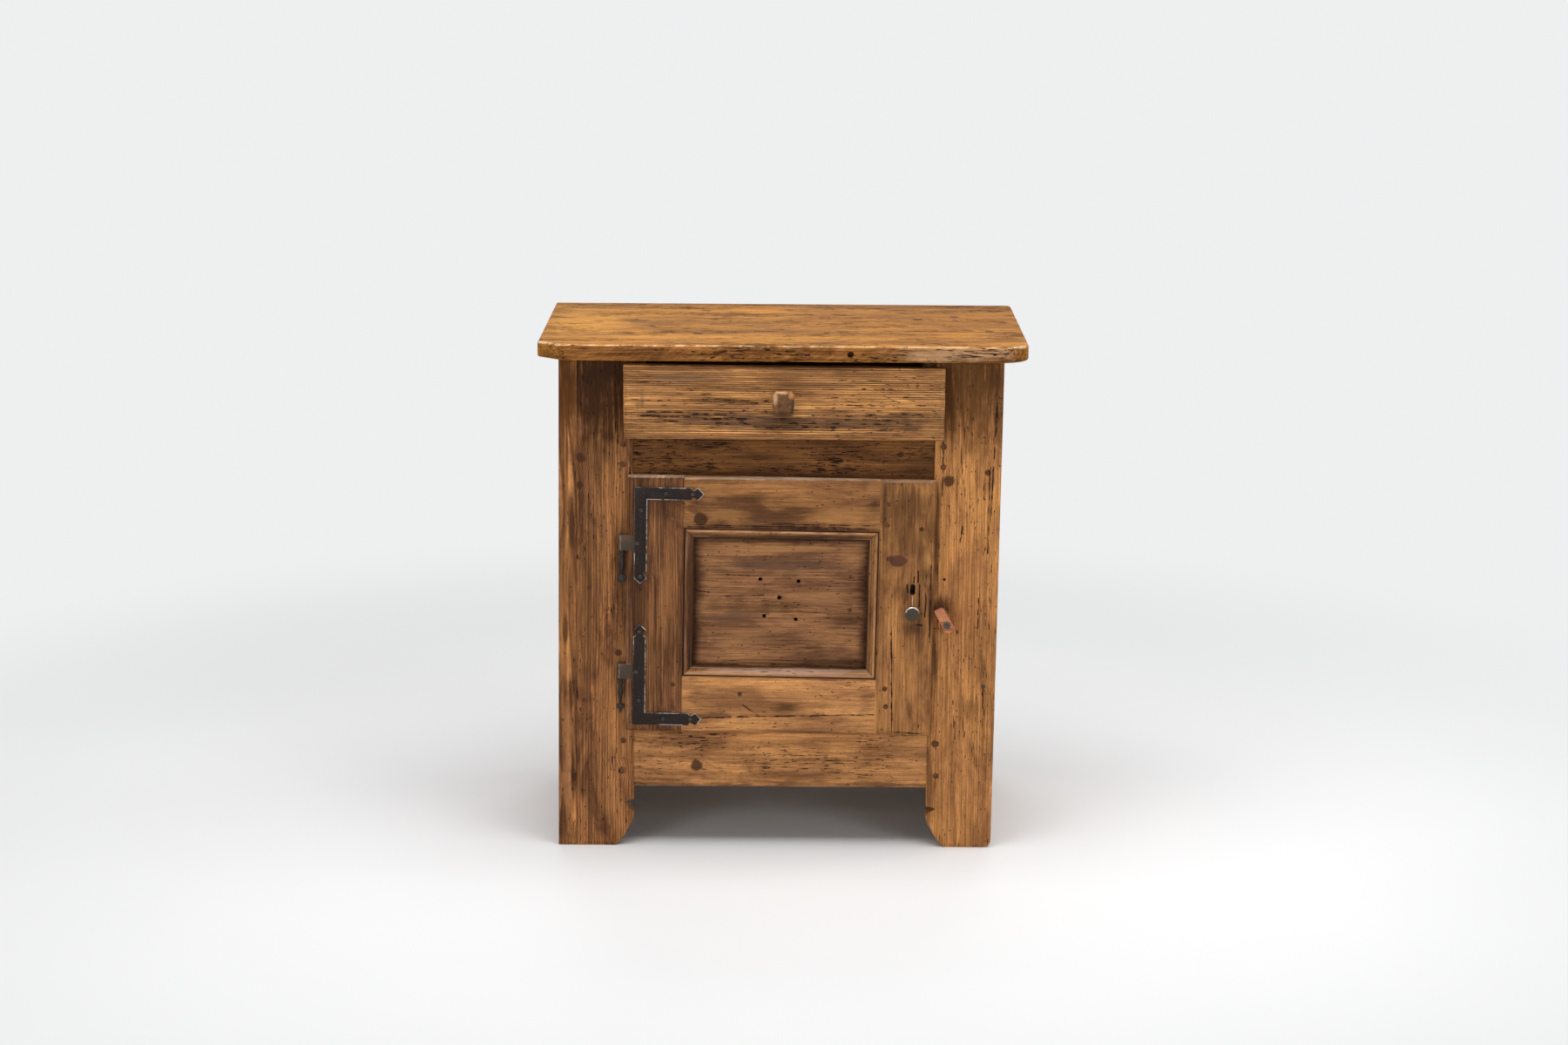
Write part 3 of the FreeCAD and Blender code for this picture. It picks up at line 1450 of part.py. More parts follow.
def make_strap(label, edge, inward, tip):
    body = new_body(label)
    face = door_front - d.iron_thickness
    add(body, "XZ", face, door_front, strap_path(edge, inward, tip))
    reach = sorted((edge.value, tip.value))
    holes = [(x, z) for x, z in strap_nail_places() if reach[0] < z.value < reach[1]]
    cut(body, "XZ", face - d.overrun, door_front, *circles(holes, d.strap_nail_diameter, d.fastener_clear))
    return on_door(body)


def make_strap_nails():
    body = new_body("strap_nails", group=True)
    face = door_front - d.iron_thickness
    places = strap_nail_places()
    add(body, "XZ", face - d.strap_nail_head_height, face, *circles(places, d.strap_nail_head))
    add(body, "XZ", face - d.strap_nail_head_height / 2, strap_nail_end(), *circles(places, d.strap_nail_diameter))
    return on_door(body)


def make_leaf(label, low):
    """A hinge leaf let into the door, whose end curls round the pin to make the knuckle."""
    body = new_body(label)
    centre_y = door_front + d.knuckle_radius
    bore = d.pin_radius + d.pin_clear
    reach = d.hinge_axis + d.leaf_reach
    inner_y = -d.knuckle_radius + d.iron_thickness
    shift = (-d.hinge_axis, centre_y)
    add(body, "XY", low, low + d.leaf_height, (ZERO, ZERO, d.knuckle_radius), shift=shift)
    plate = box_path(ZERO, -d.knuckle_radius, reach, inner_y)
    add(body, "XY", low, low + d.leaf_height, plate, shift=shift)
    cut(body, "XY", low - d.overrun, low + d.leaf_height + d.overrun, (ZERO, ZERO, bore), shift=shift)
    lap = box_path(d.pin_radius, inner_y, d.knuckle_radius + d.overrun, inner_y + d.curl_slit)
    cut(body, "XY", low - d.overrun, low + d.leaf_height + d.overrun, lap, shift=shift)
    nail_hole = circles([leaf_nail_place(low)], d.strap_nail_diameter, d.fastener_clear)
    cut(body, "XZ", door_front - d.overrun, door_front + d.iron_thickness + d.overrun, *nail_hole)
    return on_door(body)


def collar_top(leaf_low):
    return leaf_low - d.knuckle_gap


def shank_top(leaf_low):
    return collar_top(leaf_low) - d.collar_band * 2 - d.collar_neck


def spike_level(leaf_low):
    return shank_top(leaf_low) - d.shank_length / 3


def foot_level(leaf_low):
    return shank_top(leaf_low) - d.shank_length - d.waist_drop - d.tail_drop / 2


def make_pintle(label, leaf_low, foot_radius, point):
    """A rat-tail pintle: pin, ringed collar, round shank and a tail that sweeps back to a nailed foot."""
    body = new_body(label)
    centre_y = door_front + d.knuckle_radius
    shift = (-d.hinge_axis, ZERO)
    pin_end = leaf_low + d.leaf_height + d.pin_top
    top = collar_top(leaf_low)
    band = d.collar_band
    neck_low = top - band - d.collar_neck
    bottom = shank_top(leaf_low)
    half_band = band / 2
    profile = [
        (ZERO, pin_end),
        (ZERO, bottom),
        (d.shank_radius, bottom),
        (d.collar_radius, neck_low - half_band, half_band * 2, 1),
        (d.collar_neck_radius, neck_low, half_band * 2, 1),
        (d.collar_neck_radius, top - band),
        (d.collar_radius, top - half_band, half_band * 2, 1),
        (d.pin_radius + half_band, top, half_band * 3, 1),
        (d.pin_radius, top),
        (d.pin_radius, pin_end),
    ]
    turn(body, "XZ", centre_y, profile, shift)
    drop = d.shank_length + d.waist_drop
    foot_y = -d.foot_disc_thickness / 2
    sweep = foot_y - centre_y
    sections = (
        (ZERO, d.shank_radius, ZERO),
        (d.shank_length / 2, d.shank_radius, ZERO),
        (d.shank_length, d.swell_radius, sweep * 0.10),
        (d.shank_length + d.swell_depth, d.shank_radius, sweep * 0.25),
        (drop, d.waist_radius, sweep * 0.62),
        (drop + d.tail_drop / 3, d.foot_disc_thickness / 2, sweep),
    )
    rings = []
    for down, radius, forward in sections:
        ring = new_sketch(body, "XY", bottom - down, (-d.hinge_axis, centre_y + forward))
        draw_circle(ring, ZERO, ZERO, radius)
        rings.append(ring)
    tail = body.newObject("PartDesign::AdditiveLoft", f"{label}_tail")
    tail.Profile = rings[0]
    tail.Sections = rings[1:]
    doc.recompute()
    level = foot_level(leaf_low)
    centre = (-d.hinge_axis, level)
    add(body, "XZ", -d.foot_disc_thickness, ZERO, (ZERO, ZERO, foot_radius), shift=centre)
    if point:
        across = foot_radius * HALF_SHARE
        tip = [(across, -foot_radius * HALF_SHARE), (ZERO, -point), (-across, -foot_radius * HALF_SHARE)]
        add(body, "XZ", -d.foot_disc_thickness, ZERO, list(reversed(tip)), shift=centre)
    hole = d.pintle_nail_diameter / 2 + d.fastener_clear
    cut(body, "XZ", -d.foot_disc_thickness * 2, d.overrun, (ZERO, ZERO, hole), shift=centre)
    add(body, "XZ", centre_y, d.spike_length, (-d.hinge_axis, spike_level(leaf_low), d.spike_radius))
    return on_door(body)


def make_pintle_nails():
    body = new_body("pintle_nails", group=True)
    places = [(-d.hinge_axis, foot_level(low)) for low in (d.leaf_upper_low, d.leaf_lower_low)]
    face = -d.foot_disc_thickness
    add(body, "XZ", face - d.pintle_nail_head_height, face, *circles(places, d.pintle_nail_head))
    shank = circles(places, d.pintle_nail_diameter)
    add(body, "XZ", face - d.pintle_nail_head_height / 2, d.pintle_nail_length, *shank)
    return on_door(body)


def make_pull():
    """The small round iron pull: rose, neck and a flat disc with a rounded rim."""
    body = new_body("door_pull")
    rim = d.pull_thickness / 2
    face = -d.pull_stand - d.pull_thickness
    profile = [
        (face, ZERO),
        (face, d.pull_radius - rim),
        (face + rim, d.pull_radius, rim, -1),
        (-d.pull_stand, d.pull_radius - rim, rim, -1),
        (-d.pull_stand, d.pull_neck_radius),
        (-d.pull_rose_height, d.pull_neck_radius),
        (-d.pull_rose_height, d.pull_rose_radius - d.pull_rose_height / 2),
        (-d.pull_rose_height / 2, d.pull_rose_radius),
        (ZERO, d.pull_rose_radius),
        (ZERO, d.pull_shank_radius),
        (d.pull_shank_length, d.pull_shank_radius),
        (d.pull_shank_length, ZERO),
    ]
    turn(body, "YZ", d.pull_x, profile, (door_front, d.pull_z), axis="H_Axis")
    return on_door(body)


lock_right = d.door_width - d.door_lap_right - d.lock_plate_edge
lock_left = lock_right - d.lock_plate_width
case_left = lock_right - d.lock_case_width
plate_face = door_back + d.lock_plate_thickness
bolt_front = d.stile_thickness + d.bolt_behind
bolt_low = d.keyhole_z + d.bolt_rise


def lock_screw_places():
    """Screws at the four corners of the lock's plate."""
    places = []
    for x in (lock_left + d.lock_screw_margin, lock_right - d.lock_screw_margin):
        for up in (-1, 1):
            places.append((x, d.keyhole_z + (d.lock_plate_height / 2 - d.lock_screw_margin) * up))
    return places


def make_lock_case():
    """An iron box lock on the back of the door, open inside for the key and the bolt."""
    body = new_body("lock_case")
    low = d.keyhole_z - d.lock_plate_height / 2
    add(body, "XZ", door_back, plate_face, box_path(lock_left, low, lock_right, low + d.lock_plate_height))
    case_low = d.keyhole_z - d.lock_case_height / 2 + d.lock_screw_margin
    case_high = case_low + d.lock_case_height - d.lock_screw_margin * 2
    case_right = lock_right - d.lock_screw_margin * 2
    inner_right = case_right - d.lock_wall
    back = plate_face + d.lock_case_depth
    add(body, "XZ", plate_face - d.lock_plate_thickness / 2, back, box_path(case_left, case_low, case_right, case_high))
    inside = box_path(case_left + d.lock_wall, case_low + d.lock_wall, inner_right, case_high - d.lock_wall)
    cut(body, "XZ", plate_face, back - d.lock_wall, inside)
    cut_keyhole(body, door_back - d.overrun, plate_face + d.overrun)
    clear = d.lock_slot_clear
    slot = box_path(bolt_front - clear, bolt_low - clear,
                    bolt_front + d.bolt_thickness + clear, bolt_low + d.bolt_height + clear)
    cut(body, "YZ", case_left - d.overrun, case_right + d.overrun, slot)
    screws = circles(lock_screw_places(), d.lock_screw_diameter, d.fastener_clear)
    cut(body, "XZ", door_back - d.overrun, plate_face + d.overrun, *screws)
    return on_door(body)


def make_lock_bolt():
    """The sliding bolt, drawn back so that its tip just shows past the lock's edge."""
    body = new_body("lock_bolt")
    tip = lock_right
    path = [
        (tip - d.bolt_length, bolt_low),
        (d.keyhole_x - d.bolt_notch_width / 2, bolt_low),
        (d.keyhole_x - d.bolt_notch_width / 2, bolt_low + d.bolt_notch_depth),
        (d.keyhole_x + d.bolt_notch_width / 2, bolt_low + d.bolt_notch_depth),
        (d.keyhole_x + d.bolt_notch_width / 2, bolt_low),
        (tip, bolt_low),
        (tip, bolt_low + d.bolt_height),
        (tip - d.bolt_length, bolt_low + d.bolt_height),
    ]
    add(body, "XZ", bolt_front, bolt_front + d.bolt_thickness, path)
    return on_door(body)


def make_lock_screws():
    body = new_body("lock_screws", group=True)
    places = lock_screw_places()
    add(body, "XZ", plate_face, plate_face + d.lock_screw_head_height, *circles(places, d.lock_screw_head))
    start = door_back - d.lock_screw_length
    shank = circles(places, d.lock_screw_diameter)
    add(body, "XZ", start, plate_face + d.lock_screw_head_height / 2, *shank)
    return on_door(body)


button_front = door_front - d.button_face_clear - d.button_cover


def button_outline():
    """The turn button's outline with its nose along -X and its screw at the origin."""
    half = d.button_half_width
    nose, tail = -d.button_nose, d.button_tail
    length = d.button_nose + d.button_tail
    path = [(nose, -half), (tail - d.button_tail_cut, -half), (tail, -half + d.button_tail_cut), (tail, half)]
    for share in sorted(NOTCH_SHARES, reverse=True):
        middle = nose + length * share
        path.append((middle + d.button_notch_width / 2, half))
        path.append((middle, half - d.button_notch_depth))
        path.append((middle - d.button_notch_width / 2, half))
    path += [(nose + d.button_nose_cut, half), (nose, half - d.button_nose_cut)]
    return path


def make_turn_button():
    """A wooden turn button: thick round the screw, with a thin nose that passes over the door's edge."""
    body = new_body("turn_button")
    add(body, "XZ", button_front, -d.button_clear, button_outline())
    relief = box_path(-d.button_nose - d.overrun, -d.button_half_width - d.overrun,
                      -d.button_hub, d.button_half_width + d.overrun)
    cut(body, "XZ", door_front - d.button_face_clear, ZERO, relief)
    screw = (ZERO, ZERO, d.button_screw_diameter / 2 + d.fastener_clear)
    cut(body, "XZ", button_front - d.overrun, d.overrun, screw)
    place(body, d.button_x, face_y, d.button_z, d.button_angle)
    return body


def make_button_screw():
    """The cross-head screw that the button turns on."""
    body = new_body("turn_button_screw")
    head_back = button_front - d.button_clear
    head_face = head_back - d.button_screw_head_height
    centre = (d.button_x, d.button_z)
    add(body, "XZ", head_face, head_back, (ZERO, ZERO, d.button_screw_head / 2), shift=centre)
    soften(body, d.button_screw_head_height / 2, lambda spots: all(near(p.y, head_face) for p in spots))
    arm, wide = d.button_screw_head / 3, d.button_screw_slot / 2
    deep = head_face + d.button_screw_slot_depth
    cut(body, "XZ", head_face - d.overrun, deep, box_path(-arm, -wide, arm, wide), shift=centre)
    cut(body, "XZ", head_face - d.overrun, deep, box_path(-wide, -arm, wide, arm), shift=centre)
    shank = (ZERO, ZERO, d.button_screw_diameter / 2)
    add(body, "XZ", head_back - d.button_screw_slot_depth / 2, d.button_screw_bite, shank, shift=centre)
    return carcass(body)


def make_everything():
    make_top_board()
    make_edge_screw()
    make_left_side()
    make_right_side()
    make_left_stile()
    make_right_stile()
    make_drawer_rail()
    make_apron()
    make_back_boards()
    make_floor()
    make_rear_rail()
    make_carriage("left", 1)
    make_carriage("right", -1)
    make_kicker_screws()
    make_carcass_pegs()
    make_stile_nail()
    make_drawer_front()
    make_drawer_side("drawer_side_left", 1)
    make_drawer_side("drawer_side_right", -1)
    make_drawer_back()
    make_drawer_bottom()
    make_drawer_knob()
    make_hinge_stile()
    make_lock_stile()
    make_door_rail("door_top_rail", "top")
    make_door_rail("door_bottom_rail", "low")
    make_panel()
    make_door_pegs()
    make_door_patch()
    make_strap("strap_upper", d.strap_upper_edge, -1, d.strap_upper_tip)
    make_strap("strap_lower", d.strap_lower_edge, 1, d.strap_lower_tip)
    make_strap_nails()
    make_leaf("leaf_upper", d.leaf_upper_low)
    make_leaf("leaf_lower", d.leaf_lower_low)
    make_pintle("pintle_upper", d.leaf_upper_low, d.foot_disc_radius, None)
    make_pintle("pintle_lower", d.leaf_lower_low, d.lower_foot_radius, d.lower_foot_point)
    make_pintle_nails()
    make_pull()
    make_lock_case()
    make_lock_bolt()
    make_lock_screws()
    make_turn_button()
    make_button_screw()


def export():
    """Checks every object and writes one STEP file for each sub-part."""
    doc.recompute()
    for item in doc.Objects:
        if any(word in item.State for word in ("Invalid", "Error")):
            raise RuntimeError(f"{item.Label} failed: {item.State}")
    os.makedirs("parts", exist_ok=True)
    for body in PARTS:
        shape = body.Shape
        if shape.isNull() or not shape.isValid():
            raise RuntimeError(f"{body.Label} has no valid shape")
        shape.exportStep(f"parts/{body.Label}.step")
        print(f"{body.Label}: {len(shape.Solids)} solid(s), {shape.Volume:.0f} mm3")


make_everything()
export()
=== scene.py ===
"""Looks of the rustic pine cabinet: waxed and weathered pine, wrought iron, camera and soft light."""

import json
import math

import bmesh
import bpy
from mathutils import Euler, Matrix, Vector


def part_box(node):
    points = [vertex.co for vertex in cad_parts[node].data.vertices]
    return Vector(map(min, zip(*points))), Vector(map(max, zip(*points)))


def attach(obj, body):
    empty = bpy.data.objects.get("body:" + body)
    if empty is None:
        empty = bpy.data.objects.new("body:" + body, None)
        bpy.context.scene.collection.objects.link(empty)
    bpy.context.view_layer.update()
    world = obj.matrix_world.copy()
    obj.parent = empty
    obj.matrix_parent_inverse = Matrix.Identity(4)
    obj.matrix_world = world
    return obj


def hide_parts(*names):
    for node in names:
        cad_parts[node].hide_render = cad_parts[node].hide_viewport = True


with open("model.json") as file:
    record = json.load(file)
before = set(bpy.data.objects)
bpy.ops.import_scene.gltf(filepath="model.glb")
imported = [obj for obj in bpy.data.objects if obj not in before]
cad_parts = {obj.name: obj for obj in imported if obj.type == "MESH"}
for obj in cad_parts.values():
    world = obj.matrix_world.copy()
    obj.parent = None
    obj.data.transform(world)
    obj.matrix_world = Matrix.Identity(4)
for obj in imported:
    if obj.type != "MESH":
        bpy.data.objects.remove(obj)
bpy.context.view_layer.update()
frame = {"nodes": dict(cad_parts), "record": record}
NODES = frame["nodes"]
BODY_OF = {node: body for body, nodes in frame["record"]["behaviour"]["bodies"].items() for node in nodes}

# ---------------------------------------------------------------- camera, light and floor

IMAGE_WIDTH = 1800
FOCAL_PIXELS = 3727.4
SENSOR_WIDTH = 36.0
CAMERA_PLACE = (0.00026, -5.04415, 1.54788)
LOOK_ASIDE, LOOK_DOWN, ROLL = -0.0006, 0.2095, 0.007


def make_camera():
    """The camera stands five metres in front, a little above the top, and looks down at the cabinet."""
    data = bpy.data.cameras.new("camera")
    data.sensor_width = SENSOR_WIDTH
    data.lens = FOCAL_PIXELS * SENSOR_WIDTH / IMAGE_WIDTH
    camera = bpy.data.objects.new("camera", data)
    bpy.context.scene.collection.objects.link(camera)
    look = Matrix.Rotation(LOOK_ASIDE, 4, "Z") @ Matrix.Rotation(math.pi / 2 - LOOK_DOWN, 4, "X")
    look = look @ Matrix.Rotation(ROLL, 4, "Z")
    camera.matrix_world = Matrix.Translation(CAMERA_PLACE) @ look
    bpy.context.scene.camera = camera


def make_lamp(name, place, aim, size, power):
    """A soft rectangular lamp that points at a place."""
    data = bpy.data.lights.new(name, "AREA")
    data.shape = "RECTANGLE"
    data.size, data.size_y = size
    data.energy = power
    lamp = bpy.data.objects.new(name, data)
    bpy.context.scene.collection.objects.link(lamp)
    lamp.location = place
    lamp.rotation_euler = (Vector(aim) - Vector(place)).to_track_quat("-Z", "Y").to_euler()


BACKING = (0.86, 0.865, 0.87, 1)


def make_studio():
    """A pale floor that fades into a pale distance, a wide lamp overhead, and weak lamps round it."""
    world = bpy.data.worlds.new("studio")
    bpy.context.scene.world = world
    world.use_nodes = True
    sky = Graph(world.node_tree)
    backing = world.node_tree.nodes["Background"]
    shown = sky.seen()
    sky.feed(backing.inputs["Color"], sky.blend(shown, (0.72, 0.74, 0.76, 1), BACKING))
    sky.feed(backing.inputs["Strength"], sky.span(shown, 0.0, 1.0, 0.3, 1.0))

    floor_mesh = bpy.data.meshes.new("floor")
    slab = bmesh.new()
    bmesh.ops.create_grid(slab, x_segments=1, y_segments=1, size=14.0)
    slab.to_mesh(floor_mesh)
    slab.free()
    floor = bpy.data.objects.new("floor", floor_mesh)
    bpy.context.scene.collection.objects.link(floor)
    floor_mesh.materials.append(floor_paint())

    make_lamp("overhead", (0.0, -0.55, 2.4), (0.0, -0.25, 0.35), (2.4, 1.5), 52.0)
    make_lamp("front_left", (-2.2, -3.2, 1.1), (-0.1, -0.2, 0.2), (1.4, 1.4), 29.0)
    make_lamp("front_right", (2.4, -3.0, 1.1), (0.0, -0.2, 0.2), (1.4, 1.4), 28.0)
    make_lamp("behind", (0.0, 2.2, 3.2), (0.0, 0.1, 0.5), (2.2, 1.4), 30.0)
    make_lamp("side", (3.2, 0.6, 1.8), (0.2, 0.0, 0.4), (1.4, 1.4), 20.0)


def floor_paint():
    """Pale paint that keeps the cabinet's shadow near it, and is as pale as the distance further out."""
    material, paint, surface = new_material("floor_paint")
    where = paint.node("ShaderNodeTexCoord").outputs["Object"]
    mottle = paint.noise(where, (1.6, 1.6, 1.6), 3)
    mottled = paint.blend(mottle, (0.8, 0.8, 0.8, 1), (0.86, 0.86, 0.86, 1))
    paint.feed(surface.inputs["Base Color"], mottled)
    surface.inputs["Roughness"].default_value = 0.65
    away = paint.vector("LENGTH", paint.vector("SUBTRACT", where, (0.0, 0.2, 0.0)))
    far = paint.product(paint.span(away, 0.75, 2.0), paint.seen())
    glow = paint.node("ShaderNodeEmission")
    glow.inputs["Color"].default_value = BACKING
    mixed = paint.node("ShaderNodeMixShader")
    paint.feed(mixed.inputs[0], far)
    paint.feed(mixed.inputs[1], surface.outputs[0])
    paint.feed(mixed.inputs[2], glow.outputs[0])
    paint.feed(material.node_tree.nodes["Material Output"].inputs["Surface"], mixed.outputs[0])
    return material


# ---------------------------------------------------------------- places

# Places are in metres, across and then up, or across and then back for the top.
FACE = -0.1928
DRAWER_FACE = FACE - 0.018
TOP = 0.792
TOP_FRONT = -0.2148
DOOR_SAG = math.radians(0.75)
DOOR_CORNER = (-0.2397, 0.1887)
# The door's opening, measured like door_spot.
OPENING_CENTRE = (0.2353, 0.20525)
OPENING_HALF = (0.1327, 0.10035)
# The depths of the door's face and the panel's, from the front of the stiles.
DOOR_DEPTH = -0.0124
PANEL_DEPTH = -0.0008


def face_spot(across, up):
    """A place on the front of the stiles, the rail and the apron."""
    return (across, FACE, up)


def drawer_spot(across, up):
    """A place on the front of the drawer."""
    return (across, DRAWER_FACE, up)


def top_spot(across, back):
    """A place on the upper face of the top."""
    return (across, back, TOP)


def door_spot(across, up, depth=DOOR_DEPTH):
    """A place on the door's face, from its lower left corner."""
    x = DOOR_CORNER[0] + across * math.cos(DOOR_SAG) + up * math.sin(DOOR_SAG)
    z = DOOR_CORNER[1] - across * math.sin(DOOR_SAG) + up * math.cos(DOOR_SAG)
    return (x, FACE + depth, z)


def panel_spot(across, up):
    """A place on the panel's face, measured like door_spot."""
    return door_spot(across, up, PANEL_DEPTH)


def soft_marks(spot, *rows, depth=0.03):
    """Marks from rows of a place, a width, a height, a weight, and what else the mark says."""
    marks = []
    for across, up, wide, high, *rest in rows:
        reach = (wide, high, depth) if spot is top_spot else (wide, depth, high)
        marks.append((spot(across, up), reach, *rest))
    return marks


def cuts(spot, *rows):
    """Splits from rows of two ends and a width."""
    return [(spot(*row[0:2]), spot(*row[2:4]), row[4]) for row in rows]


def knots_at(spot, *rows):
    """Knots from rows of a place and a size."""
    return [(spot(*row[0:2]), row[2]) for row in rows]


# ---------------------------------------------------------------- node building


class Graph:
    """Adds nodes to one material or node group, and links them."""

    def __init__(self, tree):
        self.tree = tree

    def node(self, kind, **settings):
        made = self.tree.nodes.new(kind)
        for name, value in settings.items():
            setattr(made, name, value)
        return made

    def feed(self, socket, value):
        """Links a socket to a value's socket, or sets the plain value."""
        if isinstance(value, bpy.types.NodeSocket):
            self.tree.links.new(value, socket)
        else:
            socket.default_value = value

    def math(self, operation, *values):
        made = self.node("ShaderNodeMath", operation=operation)
        for socket, value in zip(made.inputs, values):
            self.feed(socket, value)
        return made.outputs[0]

    def product(self, first, second):
        return self.math("MULTIPLY", first, second)

    def plus(self, first, second):
        return self.math("ADD", first, second)

    def minus(self, first, second):
        return self.math("SUBTRACT", first, second)

    def larger(self, first, second):
        return self.math("MAXIMUM", first, second)

    def vector(self, operation, *values):
        made = self.node("ShaderNodeVectorMath", operation=operation)
        for socket, value in zip(made.inputs, values):
            self.feed(socket, value)
        return made.outputs["Value" if operation in ("LENGTH", "DISTANCE", "DOT_PRODUCT") else "Vector"]

    def scaled(self, vector, factors):
        """A vector with each of its parts multiplied."""
        return self.vector("MULTIPLY", vector, factors)

    def blend(self, factor, first, second, mode="MIX"):
        """Mixes two colours."""
        made = self.node("ShaderNodeMix", data_type="RGBA", blend_type=mode)
        self.feed(made.inputs[0], factor)
        self.feed(made.inputs[6], first)
        self.feed(made.inputs[7], second)
        return made.outputs[2]

    def span(self, value, low, high, to_low=0.0, to_high=1.0, shape="SMOOTHSTEP"):
        """A value taken from one range to another."""
        made = self.node("ShaderNodeMapRange", interpolation_type=shape)
        for socket, item in zip(made.inputs[:5], (value, low, high, to_low, to_high)):
            self.feed(socket, item)
        return made.outputs[0]

    def fall(self, value, low, high):
        """1 below the range and 0 above it."""
        return self.span(value, low, high, 1.0, 0.0)

    def noise(self, vector, factors, detail=2.0, roughness=0.5, scale=1.0, distortion=0.0):
        """Noise of a vector with each of its parts multiplied."""
        made = self.node("ShaderNodeTexNoise")
        settings = {
            "Vector": self.scaled(vector, factors), "Scale": scale, "Detail": detail, "Roughness": roughness,
            "Distortion": distortion,
        }
        for label, value in settings.items():
            self.feed(made.inputs[label], value)
        return made.outputs[0]

    def mapped(self, vector, turn, place=(0, 0, 0)):
        """A vector turned and then moved."""
        made = self.node("ShaderNodeMapping")
        self.feed(made.inputs["Vector"], vector)
        made.inputs["Location"].default_value = place
        made.inputs["Rotation"].default_value = turn
        return made.outputs[0]

    def split(self, vector):
        made = self.node("ShaderNodeSeparateXYZ")
        self.feed(made.inputs[0], vector)
        return made.outputs

    def joined(self, x, y, z):
        made = self.node("ShaderNodeCombineXYZ")
        for socket, value in zip(made.inputs, (x, y, z)):
            self.feed(socket, value)
        return made.outputs[0]

    def group(self, name, **values):
        """Places a node group and feeds its named inputs."""
        made = self.node("ShaderNodeGroup", node_tree=bpy.data.node_groups[name])
        for key, value in values.items():
            self.feed(made.inputs[key], value)
        return made.outputs

    def split_line(self, at, first, last, width, before, stray=0.0, thin=1.0):
        """A split between two places, or the one before it where that is deeper."""
        run = Vector(last) - Vector(first)
        return self.group(
            "split", Vector=at, Place=first, Run=tuple(run), Inverse=1 / run.length_squared, Width=width,
            Stray=stray, Thin=thin, Before=before,
        )["Split"]

    def stain(self, at, place, reach, weight, ragged, inner=0.15, before=0.0):
        """A mark round a place, or the one before it where that is deeper."""
        # Marks serve for stains and wear, and also for painted shade and painted highlights.
        shrink = tuple(1 / value for value in reach)
        return self.group(
            "smudge", Vector=at, Place=place, Shrink=shrink, Weight=weight, Ragged=ragged, Inner=inner,
            Before=before,
        )["Mark"]

    def seen(self):
        """1 where the camera sees a surface itself, in a reflection or through glass."""
        path = self.node("ShaderNodeLightPath").outputs
        shown = self.larger(path["Is Camera Ray"], path["Is Transmission Ray"])
        return self.larger(shown, path["Is Glossy Ray"])

    def times(self, colour, factor):
        """A colour with all its parts multiplied by one factor."""
        return self.blend(1.0, colour, self.joined(factor, factor, factor), "MULTIPLY")

    def bump(self, height, strength, depth, below=None):
        """A normal that leans with a height, on top of the one below it."""
        made = self.node("ShaderNodeBump")
        self.feed(made.inputs["Strength"], strength)
        self.feed(made.inputs["Distance"], depth)
        self.feed(made.inputs["Height"], height)
        if below is not None:
            self.feed(made.inputs["Normal"], below)
        return made.outputs[0]


def new_material(name):
    """An empty material, its graph and its surface shader."""
    material = bpy.data.materials.new(name)
    material.use_nodes = True
    graph = Graph(material.node_tree)
    return material, graph, material.node_tree.nodes["Principled BSDF"]


def new_group(name, vectors, values, given):
    """An empty node group that takes the named vectors and values, and gives the named values.

    Returns its graph, the sockets that it takes, and those that it gives.
    """
    tree = bpy.data.node_groups.new(name, "ShaderNodeTree")
    sides = ((vectors, "INPUT", "Vector"), (values, "INPUT", "Float"), (given, "OUTPUT", "Float"))
    for labels, side, kind in sides:
        for label in labels.split():
            tree.interface.new_socket(label, in_out=side, socket_type=f"NodeSocket{kind}")
    graph = Graph(tree)
    return graph, graph.node("NodeGroupInput").outputs, graph.node("NodeGroupOutput").inputs


def make_rings_group():
    """Year rings of a plank, whose log runs along X through the vector's origin."""
    g, start, end = new_group("year_rings", "Vector", "Spacing Wave Swirl Bend", "Ring")
    at = start["Vector"]
    slow = g.noise(at, (1.3, 5.0, 5.0))
    quick = g.noise(at, (9.0, 60.0, 60.0))
    _, y, z = g.split(at)
    bend = g.product(g.minus(slow, 0.5), start["Wave"])
    curl = g.product(g.minus(quick, 0.5), start["Swirl"])
    reach = g.vector("LENGTH", g.joined(0.0, y, z))
    reach = g.plus(g.plus(reach, start["Bend"]), g.plus(bend, curl))
    turn = g.math("FRACT", g.math("DIVIDE", reach, start["Spacing"]))
    ring = g.product(g.span(turn, 0.3, 0.88), g.fall(turn, 0.9, 1.0))
    fade = g.noise(at, (3.0, 40.0, 40.0), 1.0)
    g.feed(end["Ring"], g.product(ring, g.span(fade, 0.3, 0.6, 0.3, 1.0)))


